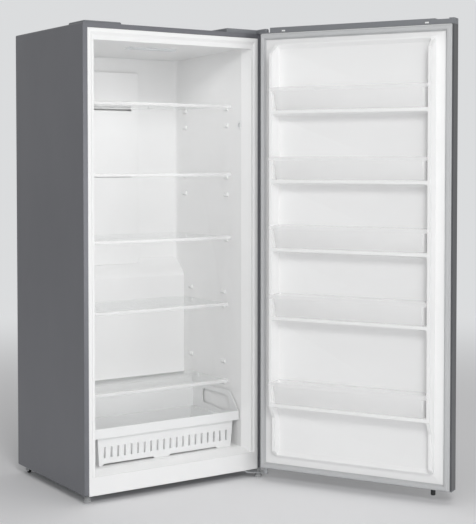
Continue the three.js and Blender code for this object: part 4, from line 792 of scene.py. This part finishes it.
@dataclass(frozen=True)
class Studio:
    """Floor, background, lamps and the camera at the photograph's angle.

    Angles are in degrees. The focal length and the rows are in pixels of the photograph.
    """

    focal_px: float = 1223.3
    photo_side: float = 524.0  # the photograph's longer side
    sensor: float = 36.0
    yaw: float = 33.93
    tilt: float = 2.0
    axis_row: float = 205.41  # the photograph's row that the camera's axis meets
    stand: tuple[float, float, float] = (-2539.7, -4216.7, 1325.4)  # from the cabinet's middle and front
    backdrop: tuple[float, float, float] = (0.86, 0.865, 0.87)
    floor_colour: tuple[float, float, float] = (0.94, 0.94, 0.945)
    floor_radius: float = 40.0
    fade: tuple[float, float] = (1.6, 6.0)  # where the floor starts and ends to fade, in metres
    sky: float = 0.45
    aim: tuple[float, float, float] = (-0.1, 0.2, 1.0)
    lamps: tuple[Lamp, ...] = (
        Lamp("key", (-2.2, -4.7, 3.8), 1.7, 93.0),
        Lamp("fill", (-1.7, -4.9, 0.5), 2.2, 38.0),
        Lamp("side", (2.1, -4.6, 0.9), 2.0, 23.0),
        Lamp("top", (-0.2, -1.2, 5.2), 2.8, 20.0),
    )
    inner_power: float = 0.5
    inner_gap: float = 6.0  # from the light cover down to the freezer's own lamp, in millimetres

    def build(self, place: Place) -> None:
        """Makes the floor, the world, the lamps and the camera."""
        bpy.context.scene.view_settings.view_transform = "Standard"
        self._floor()
        self._world()
        self._lamps(place)
        self._camera(place)

    def _floor(self) -> None:
        """A wide plain floor that takes the object's shadow and fades into the background."""
        bpy.ops.object.select_all(action="DESELECT")
        bpy.ops.mesh.primitive_circle_add(vertices=96, radius=self.floor_radius, fill_type="NGON")
        floor = bpy.context.object
        floor.name = "floor"
        made = bpy.data.materials.new("floor_paper")
        made.use_nodes = True
        graph = Graph(made.node_tree)
        out = graph.add("ShaderNodeOutputMaterial")
        shader = graph.add("ShaderNodeBsdfPrincipled", {"Roughness": 0.9, "Specular IOR Level": 0.1})
        shader.inputs["Base Color"].default_value = linear(self.floor_colour)
        far = graph.add("ShaderNodeEmission", {"Color": linear(self.backdrop)})
        place = graph.add("ShaderNodeTexCoord")
        length = graph.add("ShaderNodeVectorMath", operation="LENGTH")
        spread = graph.add(
            "ShaderNodeMapRange", {"From Min": self.fade[0], "From Max": self.fade[1]},
            interpolation_type="SMOOTHSTEP",
        )
        path = graph.add("ShaderNodeLightPath")
        share = graph.add("ShaderNodeMath", operation="MULTIPLY")
        mix = graph.add("ShaderNodeMixShader")
        graph.join(place.outputs["Object"], length.inputs[0])
        graph.join(length.outputs["Value"], spread.inputs["Value"])
        graph.join(spread.outputs["Result"], share.inputs[0])
        graph.join(path.outputs["Is Camera Ray"], share.inputs[1])
        graph.join(share.outputs[0], mix.inputs["Fac"])
        graph.join(shader.outputs["BSDF"], mix.inputs[1])
        graph.join(far.outputs[0], mix.inputs[2])
        graph.join(mix.outputs[0], out.inputs["Surface"])
        floor.data.materials.append(made)

    def _world(self) -> None:
        """An even sky that lights softly and looks pale to the camera, glass and metal."""
        world = bpy.data.worlds.new("studio")
        bpy.context.scene.world = world
        world.use_nodes = True
        graph = Graph(world.node_tree)
        out = graph.add("ShaderNodeOutputWorld")
        light = graph.add("ShaderNodeBackground", {"Color": (1.0, 1.0, 1.0, 1.0), "Strength": self.sky})
        seen = graph.add("ShaderNodeBackground", {"Color": linear(self.backdrop), "Strength": 1.0})
        path = graph.add("ShaderNodeLightPath")
        first = graph.add("ShaderNodeMath", operation="MAXIMUM")
        mix = graph.add("ShaderNodeMixShader")
        graph.join(path.outputs["Is Camera Ray"], first.inputs[0])
        graph.join(path.outputs["Is Transmission Ray"], first.inputs[1])
        graph.join(first.outputs[0], mix.inputs["Fac"])
        graph.join(light.outputs[0], mix.inputs[1])
        graph.join(seen.outputs[0], mix.inputs[2])
        graph.join(mix.outputs[0], out.inputs["Surface"])

    def _lamps(self, place: Place) -> None:
        """Hangs the lamps that stand round the freezer, and its own lamp under the light cover."""
        for lamp in self.lamps:
            hung = lamp.hang()
            hung.rotation_euler = (Vector(self.aim) - hung.location).to_track_quat("-Z", "Y").to_euler()
        low, high = place.box("light_cover")
        under = Vector(((low.x + high.x) / 2, (low.y + high.y) / 2, low.z - self.inner_gap))
        at = tuple(place.cabinet() @ (under * MM))
        inner = Lamp("inner", at, (high.x - low.x) * MM, self.inner_power)
        inner.hang().visible_camera = False

    def _camera(self, place: Place) -> None:
        """The camera where the photograph was taken from."""
        data = bpy.data.cameras.new("camera")
        data.sensor_fit = "AUTO"
        data.sensor_width = self.sensor
        data.lens = self.focal_px / self.photo_side * self.sensor
        data.shift_y = (self.axis_row - self.photo_side / 2) / self.photo_side
        camera = bpy.data.objects.new("camera", data)
        bpy.context.scene.collection.objects.link(camera)
        camera.location = place.cabinet() @ (Vector(self.stand) * MM)
        camera.rotation_euler = (math.radians(90 - self.tilt), 0, -math.radians(self.yaw))
        bpy.context.scene.camera = camera


# ---- Sub-assemblies ----


@dataclass
class Cabinet:
    """Steel case, back, base, liner and what is fixed inside it. Sizes are in millimetres."""

    palette: Palette
    eased: Eased
    screws: Screws
    place: Place

    MARGIN: ClassVar[float] = 12.0  # from a sheet's edge to its screws
    LOW_MARGIN: ClassVar[float] = 24.0
    COLUMNS: ClassVar[tuple[float, ...]] = (-205.0, 0.0, 205.0)
    ROWS: ClassVar[tuple[float, ...]] = (700.0, 1080.0, 1460.0)

    def build(self) -> None:
        """Dresses the fixed parts of the cabinet and sets its screws."""
        dress = self.palette.dress_nodes
        show = self.eased.show
        show("outer_case", "cabinet", CASE_PAINT, 1.2)
        show("liner", "cabinet", LINER_WHITE, 1.2, angle=DRAFTED)
        show("duct_cover", "cabinet", LINER_WHITE, 1.2)
        show("evaporator_cover", "cabinet", LINER_WHITE, 1.6)
        show("light_cover", "cabinet", LAMP_CLEAR, 1.2)
        show("temperature_sensor", "cabinet", PART_WHITE, 0.9)
        show("door_switch_housing", "cabinet", PART_WHITE, 0.8)
        show("door_switch_plunger", "switch_plunger", SWITCH_WHITE, 0.5)
        show("compressor", "cabinet", BLACK_PAINT, 1.2)
        show("drain_pan", "cabinet", BLACK_PLASTIC, 0.6)
        dress(BARE_STEEL, "back_panel", "base_pan", "rear_cover", "compressor_base")
        dress(FOAM, "cabinet_insulation")
        dress(ALUMINIUM, "evaporator", "defrost_heater", "condenser")
        dress(BLACK_PLASTIC, "evaporator_fan", "evaporator_fan_motor", "condenser_fan", "condenser_fan_motor")
        dress(COPPER, "discharge_line")
        dress(BLACK_RUBBER, "cord_gland")
        self._rear_screws()

    def _rear_screws(self) -> None:
        """Screws along the edges of the back panel and of the machine compartment's cover."""
        low, high = self.place.box("rear_cover")
        _, top = self.place.box("back_panel")
        _, sheet = self.place.box("compressor_base")
        sides = (low.x + self.MARGIN, high.x - self.MARGIN)
        seam, crest = high.z - self.MARGIN, top.z - self.MARGIN
        spots = [(x, z) for x in sides for z in (low.z + self.LOW_MARGIN, seam)]
        spots += [(x, seam) for x in self.COLUMNS]
        spots += [(x, crest) for x in (sides[0], *self.COLUMNS, sides[1])]
        spots += [(x, z) for x in sides for z in self.ROWS]
        facing_back = Matrix.Rotation(-math.pi / 2, 4, "X")
        self.screws.set(
            "cabinet", "rear_screws",
            [
                self.place.cabinet() @ Matrix.Translation(Vector((x, sheet.y, z)) * MM) @ facing_back
                for x, z in spots
            ],
        )


@dataclass
class Fittings:
    """Feet, rollers, hinges and their covers. Sizes are in millimetres."""

    palette: Palette
    eased: Eased
    screws: Screws
    place: Place

    PLATE: ClassVar[float] = 4.3  # the bracket's underside below the case's lower edge
    SCREW_COLUMNS: ClassVar[tuple[float, float]] = (64.0, 22.0)  # from the bracket's outer side
    SCREW_ROWS: ClassVar[tuple[float, float]] = (58.0, 16.0)  # from the bracket's rear edge

    def build(self) -> None:
        """Dresses the feet, rollers and hinge parts."""
        show = self.eased.show
        show("front_foot_left", "left_foot", GREY_PLASTIC, 0.7)
        show("front_foot_right", "right_foot", GREY_PLASTIC, 0.7)
        show("rear_roller_left", "left_roller", BLACK_PLASTIC, 0.7)
        show("rear_roller_right", "right_roller", BLACK_PLASTIC, 0.7)
        show("top_hinge_cover", "cabinet", CAP_PLASTIC, 1.0)
        show("hinge_hole_cover", "cabinet", CAP_PLASTIC, 1.0)
        show("bottom_hinge_bracket", "cabinet", BARE_STEEL, 0.6)
        self.palette.dress_nodes(BARE_STEEL, "top_hinge_bracket")
        self._bracket_screws()

    def _bracket_screws(self) -> None:
        """Screws that hold the lower hinge bracket up against the base."""
        _, high = self.place.box("bottom_hinge_bracket")
        under = self.place.box("outer_case")[0].z - self.PLATE
        inner, outer = (high.x - column for column in self.SCREW_COLUMNS)
        near, far = (high.y - row for row in self.SCREW_ROWS)
        facing_down = Matrix.Rotation(math.pi, 4, "X")
        self.screws.set(
            "cabinet", "hinge_screws",
            [
                self.place.cabinet() @ Matrix.Translation(Vector((x, y, under)) * MM) @ facing_down
                for x, y in ((inner, near), (inner, far), (outer, far))
            ],
        )


@dataclass
class Shelves:
    """Glass shelves with their front trims, and the basket."""

    palette: Palette
    eased: Eased
    count: int = 5

    def build(self) -> None:
        """Rounds the glass and the trims, and dresses the basket as it is."""
        for number in range(1, self.count + 1):
            self.eased.show(f"shelf_{number}_glass", f"shelf_{number}", SHELF_GLASS, 0.6)
            self.eased.show(f"shelf_{number}_trim", f"shelf_{number}", TRIM_CLEAR, 0.8)
        self.palette.dress_nodes(PART_WHITE, "basket")


@dataclass
class Door:
    """Door with its skin, liner, gasket, caps and bins. Sizes are in millimetres."""

    palette: Palette
    eased: Eased
    place: Place
    bins: int = 5

    BIN_CORNER: ClassVar[float] = 9.0
    SEAL_WIDTH: ClassVar[float] = 24.0
    SEAL_BASE: ClassVar[float] = 5.0  # height of the gasket's foot
    SEAL_STEP: ClassVar[float] = 1.4  # from the foot up to the pocket's shoulder
    SEAL_CREST: ClassVar[float] = 0.8  # from the pocket up to the crest that meets the flange
    SEAL_INSETS: ClassVar[tuple[float, ...]] = (2.2, 2.6, 3.4)  # each level's distance inside the last
    SEAL_EASING: ClassVar[float] = 0.9

    def build(self) -> None:
        """Dresses the door's parts and models its gasket."""
        show = self.eased.show
        show("door_skin", "door", DOOR_STEEL, 0.4)
        show("door_liner", "door", LINER_WHITE, 1.2, angle=DRAFTED)
        show("door_top_cap", "door", CAP_PLASTIC, 0.8)
        show("door_bottom_cap", "door", CAP_PLASTIC, 0.6)
        show("door_peg", "door", BLACK_PLASTIC, 0.6)
        show("cap_plug_left", "door", PART_WHITE, 0.5)
        show("cap_plug_right", "door", PART_WHITE, 0.5)
        self.palette.dress_nodes(FOAM, "door_insulation")
        self.palette.dress_nodes(PART_WHITE, "top_hinge_bush", "bottom_hinge_bush")
        for number in range(1, self.bins + 1):
            show(f"door_bin_{number}", f"bin_{number}", BIN_CLEAR, 0.8, corner=self.BIN_CORNER)
        self._gasket()

    def _gasket(self) -> None:
        """Magnetic gasket: a soft bellows with a raised magnet pocket and a thin outer lip."""
        low, high = self.place.closed_box("door_gasket")
        foot = low.y + self.SEAL_BASE
        pocket = high.y - foot - self.SEAL_STEP - self.SEAL_CREST
        ring = Bench.block("door_seal", low, (high.x, foot, high.z))
        with Bench.editing(ring):
            Bench.pick(ring, lambda normal: abs(normal.y) > ALONG)
            bpy.ops.mesh.inset(thickness=self.SEAL_WIDTH * MM, use_individual=True)
            bpy.ops.mesh.bridge_edge_loops()
            Bench.pick(ring, lambda normal: normal.y > ALONG)
            for inset, rise in zip(self.SEAL_INSETS, (self.SEAL_STEP, pocket, self.SEAL_CREST)):
                Bench.inset(inset)
                bpy.ops.mesh.extrude_region_move(TRANSFORM_OT_translate={"value": (0, rise * MM, 0)})
        Bench.bevel(ring, self.SEAL_EASING)
        Bench.move(ring, self.place.door())
        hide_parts("door_gasket")
        self.palette.settle(ring, "door", GASKET_GREY)


def main() -> None:
    """Builds every sub-assembly in order, then the studio."""
    logging.basicConfig(level=logging.INFO, format="%(name)s: %(message)s")
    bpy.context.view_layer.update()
    place = Place()
    palette = Palette()
    eased = Eased(palette)
    screws = Screws(palette)
    parts = (
        Cabinet(palette, eased, screws, place),
        Fittings(palette, eased, screws, place),
        Shelves(palette, eased),
        Door(palette, eased, place),
    )
    for part in parts:
        part.build()
        log.info("%s is dressed", type(part).__name__)
    screws.finish()
    Studio().build(place)
    log.info("studio is set")


if __name__ == "__main__":
    main()
